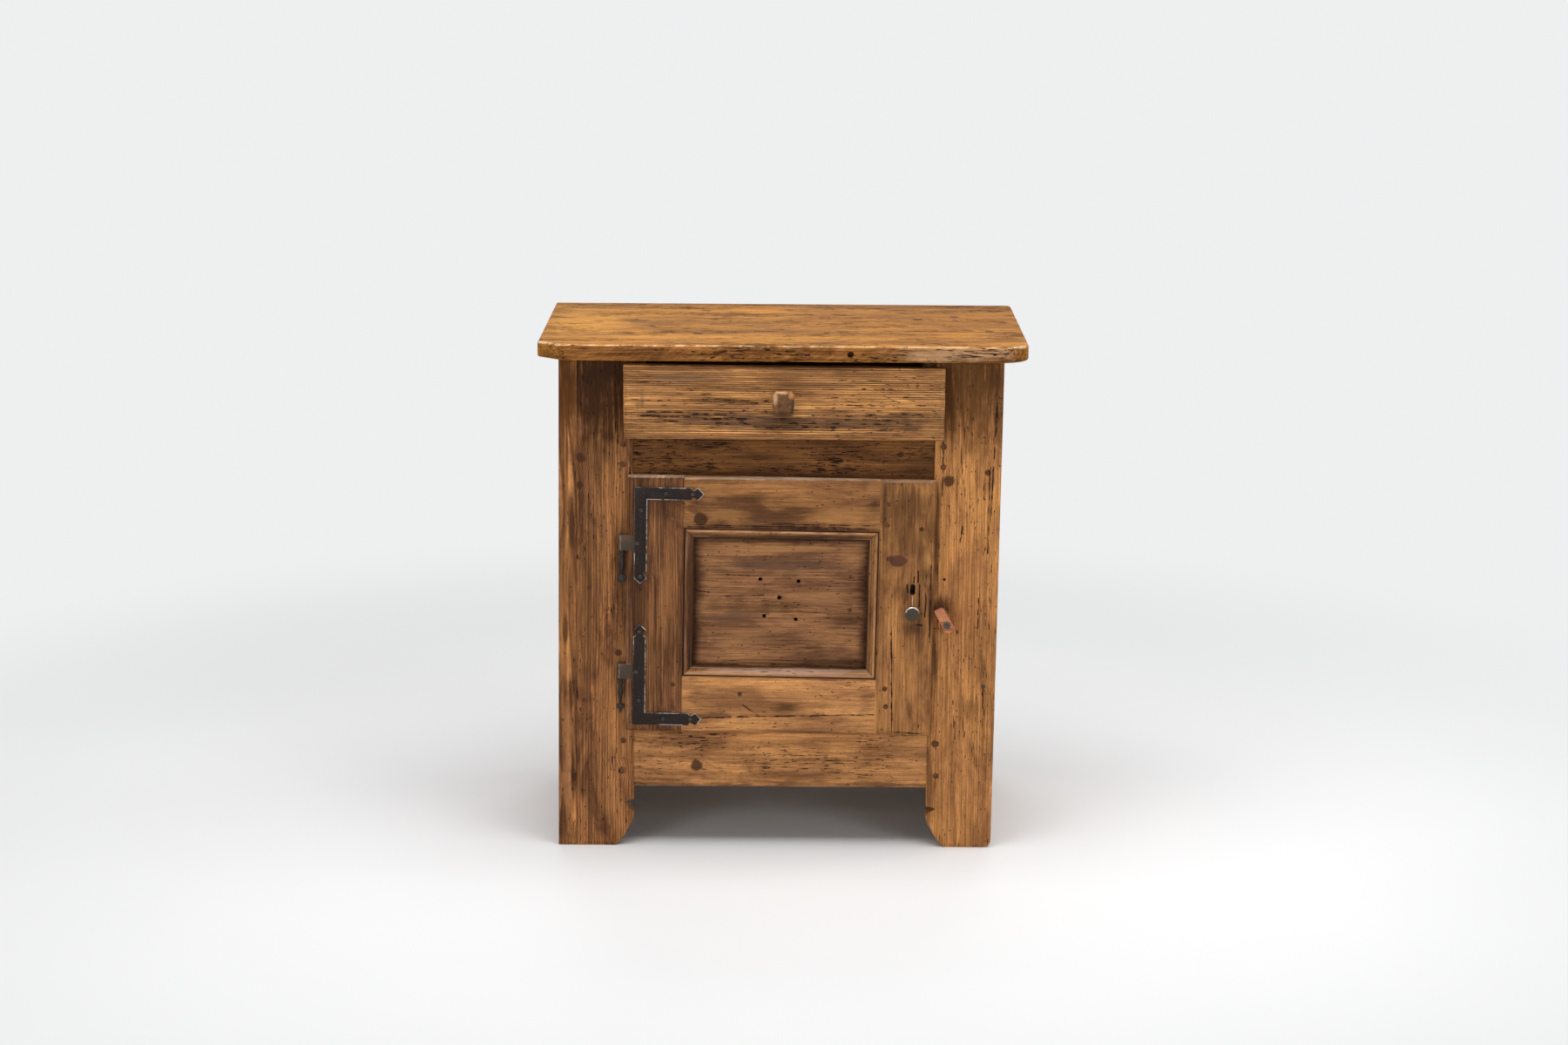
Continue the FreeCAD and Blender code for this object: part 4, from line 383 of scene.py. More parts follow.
def make_fibre_group():
    """The wood between the rings: broad streaks, long lines, short fibres, clouds of tone, and specks."""
    g, start, end = new_group("wood_fibre", "Vector", "Cloud Sway", "Streak Line Fibre Tone Speck")
    at = start["Vector"]
    bent = g.noise(at, (5.0, 18.0, 18.0))
    bent = g.product(g.minus(bent, 0.5), start["Sway"])
    swayed = g.vector("ADD", at, g.joined(0.0, bent, bent))
    streaks = g.noise(swayed, (3.2, 95.0, 95.0), 3.0, 0.6)
    g.feed(end["Streak"], g.span(streaks, 0.38, 0.62))
    lines = g.noise(swayed, (6.5, 330.0, 330.0), 3.0, 0.62)
    g.feed(end["Line"], g.span(lines, 0.42, 0.63))
    g.feed(end["Fibre"], g.noise(swayed, (38.0, 700.0, 700.0), 3.0, 0.6))
    g.feed(end["Tone"], g.noise(at, (6.5, 21.0, 21.0), 5.0, 0.66, start["Cloud"], 0.7))
    dust = g.noise(at, (420.0, 820.0, 820.0), 1.0, 0.6)
    g.feed(end["Speck"], g.span(dust, 0.6, 0.72))


def make_wear_group():
    """Short cracks along the grain, and worm holes, both in drifts."""
    g, start, end = new_group("cracks_and_worm", "Vector", "Cracks Worm", "Crack Hole")
    at = start["Vector"]
    drift = g.span(g.noise(at, (8.0, 26.0, 26.0), 3.0), 0.38, 0.62)
    share = g.product(g.span(drift, 0.0, 1.0, 0.45, 1.0, "LINEAR"), start["Cracks"])
    limit = g.span(share, 0.0, 1.0, 0.82, 0.52, "LINEAR")
    dash = g.noise(at, (62.0, 540.0, 540.0), 1.0)
    long = g.noise(at, (20.0, 430.0, 430.0))
    first = g.span(g.minus(dash, limit), 0.0, 0.03)
    second = g.span(g.minus(long, g.plus(limit, 0.02)), 0.0, 0.03)
    g.feed(end["Crack"], g.larger(first, second))
    cells = g.node("ShaderNodeTexVoronoi", feature="F1")
    g.feed(cells.inputs["Vector"], g.scaled(at, (0.6, 1.0, 1.0)))
    cells.inputs["Scale"].default_value = 190.0
    spot = g.fall(cells.outputs["Distance"], 0.1, 0.2)
    red = g.node("ShaderNodeSeparateColor")
    g.feed(red.inputs[0], cells.outputs["Color"])
    share = g.product(g.span(drift, 0.0, 1.0, 0.3, 1.5, "LINEAR"), start["Worm"])
    g.feed(end["Hole"], g.product(spot, g.math("LESS_THAN", red.outputs[0], share)))


def make_stray_group():
    """What makes marks irregular, worked out once for a board: ragged edges, wobble, stray and thinness."""
    g, start, end = new_group("stray", "Vector Along", "", "Ragged Wobble Stray Thin")
    at = start["Vector"]
    comb = g.noise(start["Along"], (16.0, 210.0, 210.0), 3.0, 0.7)
    cloud = g.noise(at, (30.0, 30.0, 30.0), 3.0, 0.6)
    ragged = g.product(g.minus(comb, 0.5), 1.9)
    g.feed(end["Ragged"], g.plus(ragged, g.minus(cloud, 0.5)))
    wobble = g.noise(at, (75.0, 75.0, 75.0))
    g.feed(end["Wobble"], g.minus(wobble, 0.5))
    stray = g.noise(at, (45.0, 45.0, 45.0), 3.0)
    g.feed(end["Stray"], g.product(g.minus(stray, 0.5), 0.003))
    g.feed(end["Thin"], g.span(wobble, 0.36, 0.64, 0.25, 1.15))


def make_knot_group():
    """One knot: its heart with fine rings, its dark rim, and how far it pushes the grain aside."""
    g, start, end = new_group("knot", "Vector Place", "Size Wobble Heart Rim Near", "Heart Rim Near")
    away = g.vector("SUBTRACT", start["Vector"], start["Place"])
    far = g.math("DIVIDE", g.vector("LENGTH", away), start["Size"])
    rough = g.plus(far, start["Wobble"])
    fine = g.span(g.math("SINE", g.product(rough, 17.0)), -1.0, 1.0, 0.86, 1.0)
    heart = g.product(g.fall(rough, 0.72, 1.12), fine)
    rim = g.product(g.span(rough, 0.66, 0.92), g.fall(rough, 0.98, 1.3))
    g.feed(end["Heart"], g.larger(start["Heart"], heart))
    g.feed(end["Rim"], g.larger(start["Rim"], rim))
    push = g.product(g.fall(far, 0.8, 4.2), start["Size"])
    g.feed(end["Near"], g.plus(start["Near"], push))


def make_soft_mark_group():
    """A soft mark round one place, which serves stains and wear as well as painted shade and painted
    highlights.
    """
    g, start, end = new_group("smudge", "Vector Place Shrink", "Weight Ragged Inner Before", "Mark")
    away = g.vector("MULTIPLY", g.vector("SUBTRACT", start["Vector"], start["Place"]), start["Shrink"])
    far = g.plus(g.vector("LENGTH", away), start["Ragged"])
    stain = g.product(g.fall(far, start["Inner"], 1.15), start["Weight"])
    g.feed(end["Mark"], g.larger(start["Before"], stain))


def make_split_group():
    """A long thin split that wanders from one place to another."""
    g, start, end = new_group("split", "Vector Place Run", "Inverse Width Stray Thin Before", "Split")
    away = g.vector("SUBTRACT", start["Vector"], start["Place"])
    share = g.product(g.vector("DOT_PRODUCT", away, start["Run"]), start["Inverse"])
    share = g.math("MINIMUM", g.larger(share, 0.0), 1.0)
    nearest = g.vector("MULTIPLY", start["Run"], g.joined(share, share, share))
    miss = g.vector("SUBTRACT", away, nearest)
    far = g.vector("LENGTH", g.vector("ADD", miss, g.joined(start["Stray"], 0.0, start["Stray"])))
    width = g.product(start["Width"], start["Thin"])
    inside = g.fall(g.math("DIVIDE", far, width), 0.4, 1.0)
    g.feed(end["Split"], g.larger(start["Before"], inside))


def make_edges_group():
    """How near a point lies to an edge of its board's box: a ragged band of painted shade with some dirt, and
    a thin worn line.
    """
    g, start, end = new_group("board_edges", "Vector Centre Half", "Width Ragged", "Edge Line")
    inside = g.vector("ABSOLUTE", g.vector("SUBTRACT", start["Vector"], start["Centre"]))
    a, b, c = g.split(g.vector("SUBTRACT", start["Half"], inside))
    middle = g.larger(g.math("MINIMUM", a, b), g.math("MINIMUM", g.larger(a, b), c))
    width = g.product(start["Width"], g.span(start["Ragged"], -0.32, 0.32, 0.15, 1.9))
    g.feed(end["Edge"], g.fall(g.math("DIVIDE", middle, width), 0.15, 0.95))
    g.feed(end["Line"], g.fall(middle, 0.0008, 0.0026))


def make_moulding_group():
    """Painted shade with some dirt in the hollows, and a painted highlight with some wear on the bead and
    fillet, along the door's moulding, which runs round its opening and meets in mitres.

    out is how far a point lies from the opening: the step, the foot and the fillet come first, then the bead,
    the quirk and the fine line above it.
    """
    g, start, end = new_group("moulding_marks", "Vector", "Ragged", "Dirt Gleam")
    flat = g.mapped(start["Vector"], (0, -DOOR_SAG, 0))
    centre = Matrix.Rotation(-DOOR_SAG, 3, "Y") @ Vector(door_spot(*OPENING_CENTRE))
    x, y, z = g.split(g.vector("SUBTRACT", flat, tuple(centre)))
    beside = g.minus(g.math("ABSOLUTE", x), OPENING_HALF[0])
    above = g.minus(g.math("ABSOLUTE", z), OPENING_HALF[1])
    out = g.larger(beside, above)

    def stripe(low, high, soft=0.0004):
        """1 from low to high as measured by out."""
        rise = g.span(out, low - soft, low + soft)
        return g.product(rise, g.fall(out, high - soft, high + soft))

    corner = g.math("ABSOLUTE", g.minus(beside, above))
    mitre = g.product(g.fall(corner, 0.0002, 0.0011), stripe(-0.001, 0.017))
    # The quirk, the foot and the step are painted shade, with some dirt, in the groove and where the moulding
    # drops to the panel; the mitre is a dark joint.
    quirk = g.product(stripe(0.0138, 0.0166), 0.97)
    foot = g.product(g.fall(out, 0.0008, 0.011), 0.88)
    step = g.product(g.fall(out, 0.0004, 0.0026), 0.97)
    broken = g.span(start["Ragged"], -0.3, 0.3, 0.25, 1.0)
    above_quirk = g.product(g.product(stripe(0.0174, 0.0186), 0.75), broken)
    shade_and_dirt = g.larger(g.larger(mitre, quirk), g.larger(foot, step))
    ahead = g.fall(y, 0.0125, 0.014)
    g.feed(end["Dirt"], g.product(g.larger(shade_and_dirt, above_quirk), ahead))
    # The bead and the fillet get a painted highlight, with some wear.
    bead = g.product(stripe(0.0104, 0.0134, 0.0008), 0.75)
    fillet = g.product(stripe(0.0026, 0.0038), 0.75)
    highlight_and_wear = g.product(g.larger(bead, fillet), broken)
    g.feed(end["Gleam"], g.product(highlight_and_wear, ahead))


# ---------------------------------------------------------------- wood

DARK = (0.043, 0.016, 0.0065, 1)
SOOT = (0.014, 0.007, 0.005, 1)
KNOT = (0.048, 0.018, 0.009, 1)
# The pale tone below is wear on arrises, and also paints the highlight on the lit ones.
WEAR_AND_HIGHLIGHT = (0.66, 0.46, 0.31, 1)
RAW = (0.4, 0.245, 0.125)

TURNS = {"X": (0, 0, 0), "Z": (0, math.pi / 2, 0), "Y": (0, 0, -math.pi / 2)}


def shades(mean, depth):
    """Light, middle and deep tones round one mean colour."""
    red, green, blue = mean
    light = (red * 1.36, green * 1.4, blue * 1.3, 1)
    deep = (red * depth, green * depth * 0.92, blue * depth * 1.05, 1)
    return light, (red, green, blue, 1), deep


def pine(
    name, grain, heart, mean, spacing=0.0042, wave=0.03, swirl=0.0016, rings=0.6, lines=0.5, streaks=0.4,
    blotch=0.5, cloud=1.0, sway=0.012, depth=0.34, ridges=0.25, cracks=0.45, worm=0.1, knots=(),
    smudges=(), rubs=(), splits=(), edge=0.45, edge_width=0.006, arris=0.45, polish=0.46, sheen=0.08,
    centre=None, half=None, moulded=None, front=None,
):
    """A waxed pine board of one mean colour.

    grain is the axis that its fibres run along, and heart is where the heart of its log lies. spacing to
    worm say how its wood looks; edge and edge_width say how dark and how wide a ragged band of painted
    shade with some dirt lies along the edges of its box, and arris to sheen how worn and waxed it is. Its
    marks are knots (place and size), smudges (place, reach and weight) and rubs (the same with a tint, how
    ragged they are and where they start to fade), which are stains and wear or else painted shade and
    painted highlights, and splits (two ends and a width). moulded is the colour of the painted highlight,
    with some wear, on the moulding's bead and fillet, whose hollows get painted shade with some dirt. front
    darkens the end of the top that faces the room, and paints a highlight with some wear along its upper
    arris.
    """
    material, g, surface = new_material(name)
    coordinates = g.node("ShaderNodeTexCoord").outputs
    here = coordinates["Object"]
    turn = TURNS[grain]
    start = Euler(turn).to_matrix() @ Vector(heart)
    along = g.mapped(here, turn, tuple(-start))
    stray = g.group("stray", Vector=here, Along=along)
    knot = {"Heart": 0.0, "Rim": 0.0, "Near": 0.0}
    for place, size in knots:
        before = {label: knot[label] for label in ("Heart", "Rim", "Near")}
        knot = g.group("knot", Vector=here, Place=place, Size=size, Wobble=stray["Wobble"], **before)
    bend = g.product(knot["Near"], 0.9)
    ring = g.group("year_rings", Vector=along, Spacing=spacing, Wave=wave, Swirl=swirl, Bend=bend)["Ring"]
    wood = g.group("wood_fibre", Vector=along, Cloud=cloud, Sway=sway)
    light, middle, deep = shades(mean, depth)

    tone = wood["Tone"]
    colour = g.blend(g.span(tone, 0.38, 0.54), light, middle)
    colour = g.blend(g.product(g.span(tone, 0.5, 0.64), blotch), colour, deep)
    colour = g.blend(g.product(ring, rings), colour, deep)
    streak = g.span(wood["Streak"], 0.0, 1.0, 1.0 + 0.3 * streaks, 1.0 - 0.55 * streaks, "LINEAR")
    colour = g.times(colour, streak)
    colour = g.times(colour, g.span(wood["Line"], 0.0, 1.0, 1.14, 1.14 - 0.8 * lines, "LINEAR"))
    colour = g.times(colour, g.span(wood["Fibre"], 0.3, 0.7, 1.2, 0.78, "LINEAR"))
    colour = g.times(colour, g.span(wood["Speck"], 0.0, 1.0, 1.0, 0.62, "LINEAR"))
    if front:
        toward = g.product(g.split(coordinates["Normal"])[1], -1.0)
        turned = g.mapped(here, (0, 0.62, 0))
        flame = g.noise(turned, (26.0, 26.0, 300.0), 3.0, 0.6)
        flamed = g.times(colour, g.span(flame, 0.4, 0.62, 0.8 * front, 1.12 * front))
        flamed = g.blend(1.0, flamed, (1.0, 0.98, 1.9, 1), "MULTIPLY")
        colour = g.blend(g.span(toward, 0.55, 0.9), colour, flamed)
        # The crest paints a highlight, with some wear, on the upward part of the top's front arris.
        crest = g.product(g.span(toward, 0.08, 0.35), g.fall(toward, 0.5, 0.85))
        upward = g.span(g.split(coordinates["Normal"])[2], 0.2, 0.45)
        chipped = g.span(g.noise(here, (42.0, 42.0, 42.0), 4.0, 0.75), 0.42, 0.58, 1.0, 0.12)
        crest = g.product(g.product(crest, upward), chipped)
        colour = g.blend(crest, colour, WEAR_AND_HIGHLIGHT)
    # The moulding's hollows get painted shade with some dirt, and its bead and fillet a painted highlight,
    # with some wear, in the colour moulded.
    if moulded:
        moulding = g.group("moulding_marks", Vector=here, Ragged=stray["Ragged"])
        colour = g.times(colour, g.span(moulding["Dirt"], 0.0, 1.0, 1.0, 0.1, "LINEAR"))
        colour = g.blend(moulding["Gleam"], colour, moulded)
    # Smudges darken towards DARK and rubs tint towards their own colour. Some are stains, dirt and wear;
    # others paint shade where it falls, as under the top's overhang, round the sunk panel and below the knob,
    # and highlights on lit arrises and mouldings.
    stain = 0.0
    for place, reach, weight in smudges:
        stain = g.stain(here, place, reach, weight, stray["Ragged"], before=stain)
    if smudges:
        colour = g.blend(g.product(stain, 0.88), colour, DARK)
    for place, reach, weight, tint, *crisp in rubs:
        ragged = g.product(stray["Ragged"], crisp[0] if crisp else 1.0)
        colour = g.blend(g.stain(here, place, reach, weight, ragged, *crisp[1:]), colour, tint)
    if knots:
        colour = g.blend(g.product(knot["Heart"], 0.95), colour, KNOT)
        colour = g.blend(g.product(knot["Rim"], 0.62), colour, DARK)
    if centre is not None:
        rim = g.group(
            "board_edges", Vector=here, Centre=centre, Half=half, Width=edge_width, Ragged=stray["Ragged"]
        )
        # A ragged band along the edges of the board's box is darkened: painted shade where neighbouring parts
        # meet it, with some dirt. The thin pale line is wear on the arrises.
        colour = g.blend(g.product(rim["Edge"], edge), colour, DARK)
        worn = g.product(rim["Line"], g.span(tone, 0.4, 0.58, arris, 0.05))
        colour = g.blend(worn, colour, g.times(light, 1.25))
    marks = g.group("cracks_and_worm", Vector=along, Cracks=cracks, Worm=worm)
    dark = g.larger(marks["Crack"], marks["Hole"])
    for first, last, width in splits:
        dark = g.split_line(here, first, last, width, dark, stray["Stray"], stray["Thin"])
    colour = g.blend(g.product(dark, 0.94), colour, SOOT)
    g.feed(surface.inputs["Base Color"], colour)

    rough = g.span(wood["Fibre"], 0.2, 0.8, polish - 0.06, polish + 0.12, "LINEAR")
    g.feed(surface.inputs["Roughness"], g.plus(rough, g.product(dark, 0.35)))
    surface.inputs["Specular IOR Level"].default_value = sheen
    relief = g.bump(g.plus(ring, g.product(wood["Line"], -1.0)), ridges, 0.0018)
    relief = g.bump(wood["Fibre"], 0.3, 0.0006, relief)
    relief = g.bump(g.product(dark, -1.0), 0.9, 0.0018, relief)
    g.feed(surface.inputs["Normal"], relief)
    return material


def board_box(node):
    """Centre and half size of a node's box."""
    low, high = (Vector(corner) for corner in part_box(node))
    return tuple((low + high) / 2), tuple((high - low) / 2)


# Corners nearer than WELD join, faces flatter than FLAT_ANGLE merge, edges sharper than EASED_ANGLE are
# eased, and a face whose normal has a part over SQUARE isn't an eased edge.
WELD = 2e-6
FLAT_ANGLE = math.radians(0.4)
EASED_ANGLE = 0.6
CREASE_ANGLE = math.radians(38)
SQUARE = 0.985
BOARD_EASE = 0.0009


def finished(node, material, ease=0.0, worn=None):
    """Stands for a CAD node: the same shape in one skin, smooth where it curves, its sharp edges eased."""
    mesh = NODES[node].data.copy()
    mesh.name = f"{node}_finished"
    work = bmesh.new()
    work.from_mesh(mesh)
    bmesh.ops.remove_doubles(work, verts=work.verts, dist=WELD)
    bmesh.ops.dissolve_limit(work, angle_limit=FLAT_ANGLE, verts=work.verts, edges=work.edges)
    if ease:
        sharp = [e for e in work.edges if len(e.link_faces) == 2 and e.calc_face_angle(0.0) > EASED_ANGLE]
        bmesh.ops.bevel(
            work, geom=sharp, offset=ease, offset_type="OFFSET", segments=2, profile=0.5, affect="EDGES",
            clamp_overlap=True, material=-1,
        )
    mesh.materials.clear()
    mesh.materials.append(material)
    if worn:
        mesh.materials.append(worn)
    work.normal_update()
    for face in work.faces:
        face.smooth = True
        face.material_index = 1 if worn and max(abs(part) for part in face.normal) < SQUARE else 0
    work.to_mesh(mesh)
    work.free()
    mesh.set_sharp_from_angle(angle=CREASE_ANGLE)
    piece = bpy.data.objects.new(f"{node}_finished", mesh)
    bpy.context.scene.collection.objects.link(piece)
    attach(piece, BODY_OF[node])
    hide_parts(node)


def dress(node, material):
    """Gives a CAD node its material."""
    mesh = NODES[node].data
    mesh.materials.clear()
    mesh.materials.append(material)


def dress_board(node, grain, heart, mean, spot=None, **looks):
    """Gives a board a pine of its own, with its edges eased, and darkened with painted shade and some dirt.

    With spot, its marks are rows of places that spot turns into places in the scene.
    """
    centre, half = board_box(node)
    if spot:
        for label, turn in (("knots", knots_at), ("smudges", soft_marks), ("rubs", soft_marks), ("splits", cuts)):
            looks[label] = turn(spot, *looks.get(label, ()))
    wood = pine(f"{node}_pine", grain, heart, mean, centre=centre, half=half, **looks)
    finished(node, wood, ease=BOARD_EASE)


# The dark patch's stain, as rows of marks, and the vent holes. Both are measured like door_spot.
PATCH_LOOK = ((0.105, 0.04, 0.024, 1), 0.22, 0.85)
PATCH_STAIN = (
    (0.4145, 0.277, 0.0138, 0.009, 1.0, *PATCH_LOOK),
    (0.404, 0.28, 0.007, 0.0046, 0.9, *PATCH_LOOK),
)
VENT_SHARES = ((0.382, 0.68), (0.603, 0.668), (0.494, 0.537), (0.408, 0.391), (0.592, 0.367))
VENTS = [
    [centre + (2 * share - 1) * half for centre, share, half in zip(OPENING_CENTRE, shares, OPENING_HALF)]
    for shares in VENT_SHARES
]


def dress_carcass():
    dress_board(
        "top_board", "X", (0.0, 0.05, 0.6), (0.325, 0.131, 0.02), spacing=0.0045, wave=0.07, rings=0.26,
        lines=0.62, blotch=0.45, ridges=0.1, cracks=0.78, worm=0.24, edge=0.0, polish=0.42,
        front=0.7, sheen=0.02,
        knots=knots_at(
            top_spot,
            (-0.1304, -0.0955, 0.0075), (-0.204, -0.0209, 0.005), (0.2141, 0.0685, 0.008),
            (0.3211, -0.0546, 0.007), (0.2728, 0.0962, 0.0075), (0.0666, -0.0764, 0.0055),
            (0.3476, 0.0395, 0.0055),
        ),
        smudges=soft_marks(
            top_spot,
            (0.0, 0.226, 0.3, 0.018, 0.55), (-0.3, 0.205, 0.1, 0.02, 0.45), (0.24, 0.21, 0.15, 0.03, 0.45),
            (-0.04, -0.01, 0.07, 0.03, 0.35), (0.22, 0.02, 0.05, 0.015, 0.5),
        ),
        splits=(
            *cuts(
                top_spot,
                (-0.33, 0.185, -0.24, 0.19, 0.0016), (-0.155, 0.185, -0.125, 0.17, 0.0034),
                (-0.133, 0.152, -0.118, 0.15, 0.0036), (-0.24, 0.18, -0.205, 0.183, 0.0032),
                (-0.185, 0.19, -0.15, 0.188, 0.0028), (0.24, 0.212, 0.3, 0.215, 0.004),
                (0.33, 0.205, 0.368, 0.203, 0.0036), (-0.335, 0.001, -0.318, 0.0016, 0.0034),
                (0.015, 0.113, 0.045, 0.114, 0.0036), (-0.06, 0.184, -0.02, 0.184, 0.003),
                (-0.016, -0.047, 0.0, -0.0455, 0.003), (-0.372, -0.1, -0.345, -0.098, 0.0016),
                (-0.372, -0.07, -0.35, -0.072, 0.0012),
            ),
            ((0.04, -0.211, 0.79), (0.052, -0.211, 0.7895), 0.0022),
            ((0.02, TOP_FRONT, 0.7795), (0.04, TOP_FRONT, 0.7785), 0.0016),
        ),
        rubs=(
            ((0.27, TOP_FRONT, 0.782), (0.12, 0.01, 0.014), 0.8, (0.52, 0.3, 0.155, 1)),
            *soft_marks(
                top_spot,
                (-0.31, 0.02, 0.09, 0.2, 0.6, (0.56, 0.255, 0.045, 1)),
                (-0.08, -0.13, 0.22, 0.05, 0.4, (0.54, 0.24, 0.045, 1)),
                (0.24, 0.06, 0.2, 0.16, 0.6, (0.215, 0.08, 0.012, 1)),
                (0.0, 0.215, 0.37, 0.026, 0.5, (0.22, 0.085, 0.012, 1)),
                (0.0, 0.235, 0.4, 0.005, 0.8, (0.1, 0.036, 0.006, 1)),
            ),
        ),
    )
    dress_board(
        "left_side_board", "Z", (-0.3, -0.15, 0.0), (0.38, 0.16, 0.056), spacing=0.0095, wave=0.11,
        swirl=0.006, rings=0.88, blotch=0.6, worm=0.12, depth=0.26,
        knots=knots_at(face_spot, (-0.317, 0.1103, 0.006)),
        # The smudge and the first rub at the top paint the shade under the top's overhang.
        smudges=soft_marks(face_spot, (-0.326, 0.71, 0.02, 0.06, 0.8), depth=0.05),
        rubs=soft_marks(
            face_spot,
            (-0.33, 0.72, 0.03, 0.12, 0.86, (0.08, 0.025, 0.004, 1)),
            (-0.328, 0.42, 0.02, 0.3, 0.1, (0.5, 0.21, 0.06, 1)),
            depth=0.05,
        ) + soft_marks(
            face_spot,
            (-0.3215, 0.508, 0.006, 0.055, 0.9, DARK, 0.45, 0.4),
            (-0.332, 0.345, 0.0048, 0.03, 0.75, DARK, 0.45, 0.5),
            (-0.3245, 0.245, 0.0032, 0.036, 0.75, DARK, 0.45, 0.5),
            (-0.3215, 0.12, 0.0034, 0.062, 0.75, DARK, 0.45, 0.4),
            (-0.33, 0.13, 0.008, 0.11, 0.55, (0.42, 0.185, 0.078, 1), 0.6, 0.4),
            (-0.3275, 0.62, 0.0026, 0.05, 0.55, DARK, 0.45, 0.5),
            depth=0.06,
        ),
    )
    dress_board("right_side_board", "Z", (0.25, -0.02, 0.0), (0.34, 0.15, 0.052), spacing=0.006, wave=0.06)
    dress_board(
        "left_stile", "Z", (-0.05, -0.16, 0.0), (0.315, 0.13, 0.047), spacing=0.004, wave=0.035,
        lines=0.64, streaks=0.3, blotch=0.75, ridges=0.3, cracks=0.46, worm=0.14,
        knots=knots_at(
            face_spot,
            (-0.3076, 0.6147, 0.007), (-0.309, 0.5727, 0.005), (-0.2504, 0.3096, 0.005),
            (-0.2446, 0.1216, 0.005),
        ),
        # The two smudges at the top and the first rub paint the shade under the top's overhang, over some
        # real stain.
        smudges=(
            *soft_marks(face_spot, (-0.275, 0.74, 0.07, 0.12, 1.0), (-0.285, 0.62, 0.05, 0.09, 0.5), depth=0.06),
            *soft_marks(face_spot, (-0.245, 0.44, 0.02, 0.1, 0.7), (-0.3, 0.36, 0.032, 0.22, 0.6)),
            *soft_marks(face_spot, (-0.29, 0.16, 0.05, 0.09, 0.1), depth=0.05),
        ),
        rubs=(
            (face_spot(-0.27, 0.72), (0.08, 0.05, 0.12), 0.88, (0.036, 0.0115, 0.0018, 1)),
            (face_spot(-0.3166, 0.6), (0.0016, 0.004, 0.2), 0.6, (0.46, 0.24, 0.1, 1), 0.5),
        ),
        splits=cuts(face_spot, (-0.232, 0.6, -0.2335, 0.53, 0.0022)),
    )
    dress_board(
        "right_stile", "Z", (0.1, -0.12, 0.0), (0.41, 0.176, 0.059), spot=face_spot, spacing=0.0036,
        wave=0.02, rings=0.36, lines=0.54, streaks=0.2, sway=0.005, ridges=0.3, cracks=0.44,
        worm=0.22,
        knots=((0.2535, 0.5828, 0.008), (0.3128, 0.5961, 0.005), (0.2392, 0.1677, 0.005)),
        # The rub at the top paints the shade under the top's overhang, and the thin smudge at 0.2375 the
        # shade in the gap beside the door.
        smudges=(
            (0.243, 0.387, 0.024, 0.022, 1.0), (0.236, 0.31, 0.01, 0.06, 0.9),
            (0.25, 0.72, 0.025, 0.06, 0.9), (0.32, 0.74, 0.02, 0.05, 0.8),
            (0.29, 0.225, 0.025, 0.025, 0.55), (0.232, 0.08, 0.014, 0.07, 0.7),
            (0.2375, 0.48, 0.0055, 0.16, 0.85),
        ),
        rubs=((0.285, 0.735, 0.08, 0.13, 0.82, (0.08, 0.03, 0.006, 1)),),
        splits=(
            (0.3255, 0.705, 0.3235, 0.66, 0.0018), (0.3235, 0.66, 0.319, 0.52, 0.0014),
            (0.276, 0.512, 0.2725, 0.486, 0.0018), (0.316, 0.6, 0.3155, 0.47, 0.0011),
            (0.308, 0.585, 0.3075, 0.555, 0.0014), (0.303, 0.4, 0.3025, 0.34, 0.0012),
            (0.313, 0.3, 0.312, 0.19, 0.0012), (0.244, 0.65, 0.2445, 0.56, 0.0012),
            (0.256, 0.545, 0.2562, 0.505, 0.0012),
        ),
    )
    dress_board(
        "drawer_rail", "X", (0.0, -0.12, 0.3), (0.158, 0.062, 0.0185), spot=face_spot, spacing=0.005,
        rings=0.3, streaks=0.25, sway=0.004, ridges=0.15, cracks=0.76,
        worm=0.34, edge=0.62, edge_width=0.01,
        knots=(
            (-0.163, 0.645, 0.0045), (-0.056, 0.645, 0.0035), (0.038, 0.643, 0.0035), (0.18, 0.622, 0.005),
        ),
        # The smudge along the rail's lower edge paints the shade above the door.
        smudges=((0.0, 0.585, 0.34, 0.02, 0.75),),
    )
    dress_board(
        "apron", "X", (0.0, -0.1, 0.2), (0.385, 0.172, 0.063), spot=face_spot, spacing=0.0058, wave=0.05,
        rings=0.3, lines=0.42, streaks=0.28, blotch=0.55, sway=0.006, ridges=0.18, cracks=0.66, worm=0.22,
        edge=0.55, edge_width=0.012,
        knots=((-0.1301, 0.1295, 0.009),),
    )
    inner = {
        "rings": 0.45, "blotch": 0.3, "cracks": 0.35, "worm": 0.05, "polish": 0.62, "edge": 0.7,
        "edge_width": 0.005,
    }
    for index, node in enumerate(("back_board_left", "back_board_middle", "back_board_right")):
        dress_board(node, "Z", (-0.3 + 0.33 * index, 0.1, 0.0), RAW, spacing=0.006, wave=0.06, **inner)
    dress_board("cupboard_floor", "X", (0.0, 0.05, 0.06), RAW, spacing=0.006, **inner)
    dress_board("rear_rail", "X", (0.0, 0.16, 0.52), RAW, **inner)
    for side in ("left", "right"):
        for piece in ("drawer_runner", "drawer_guide", "kicker"):
            dress_board(f"{piece}_{side}", "Y", (0.02 if side == "left" else 0.1, 0.0, 0.55), RAW, **inner)


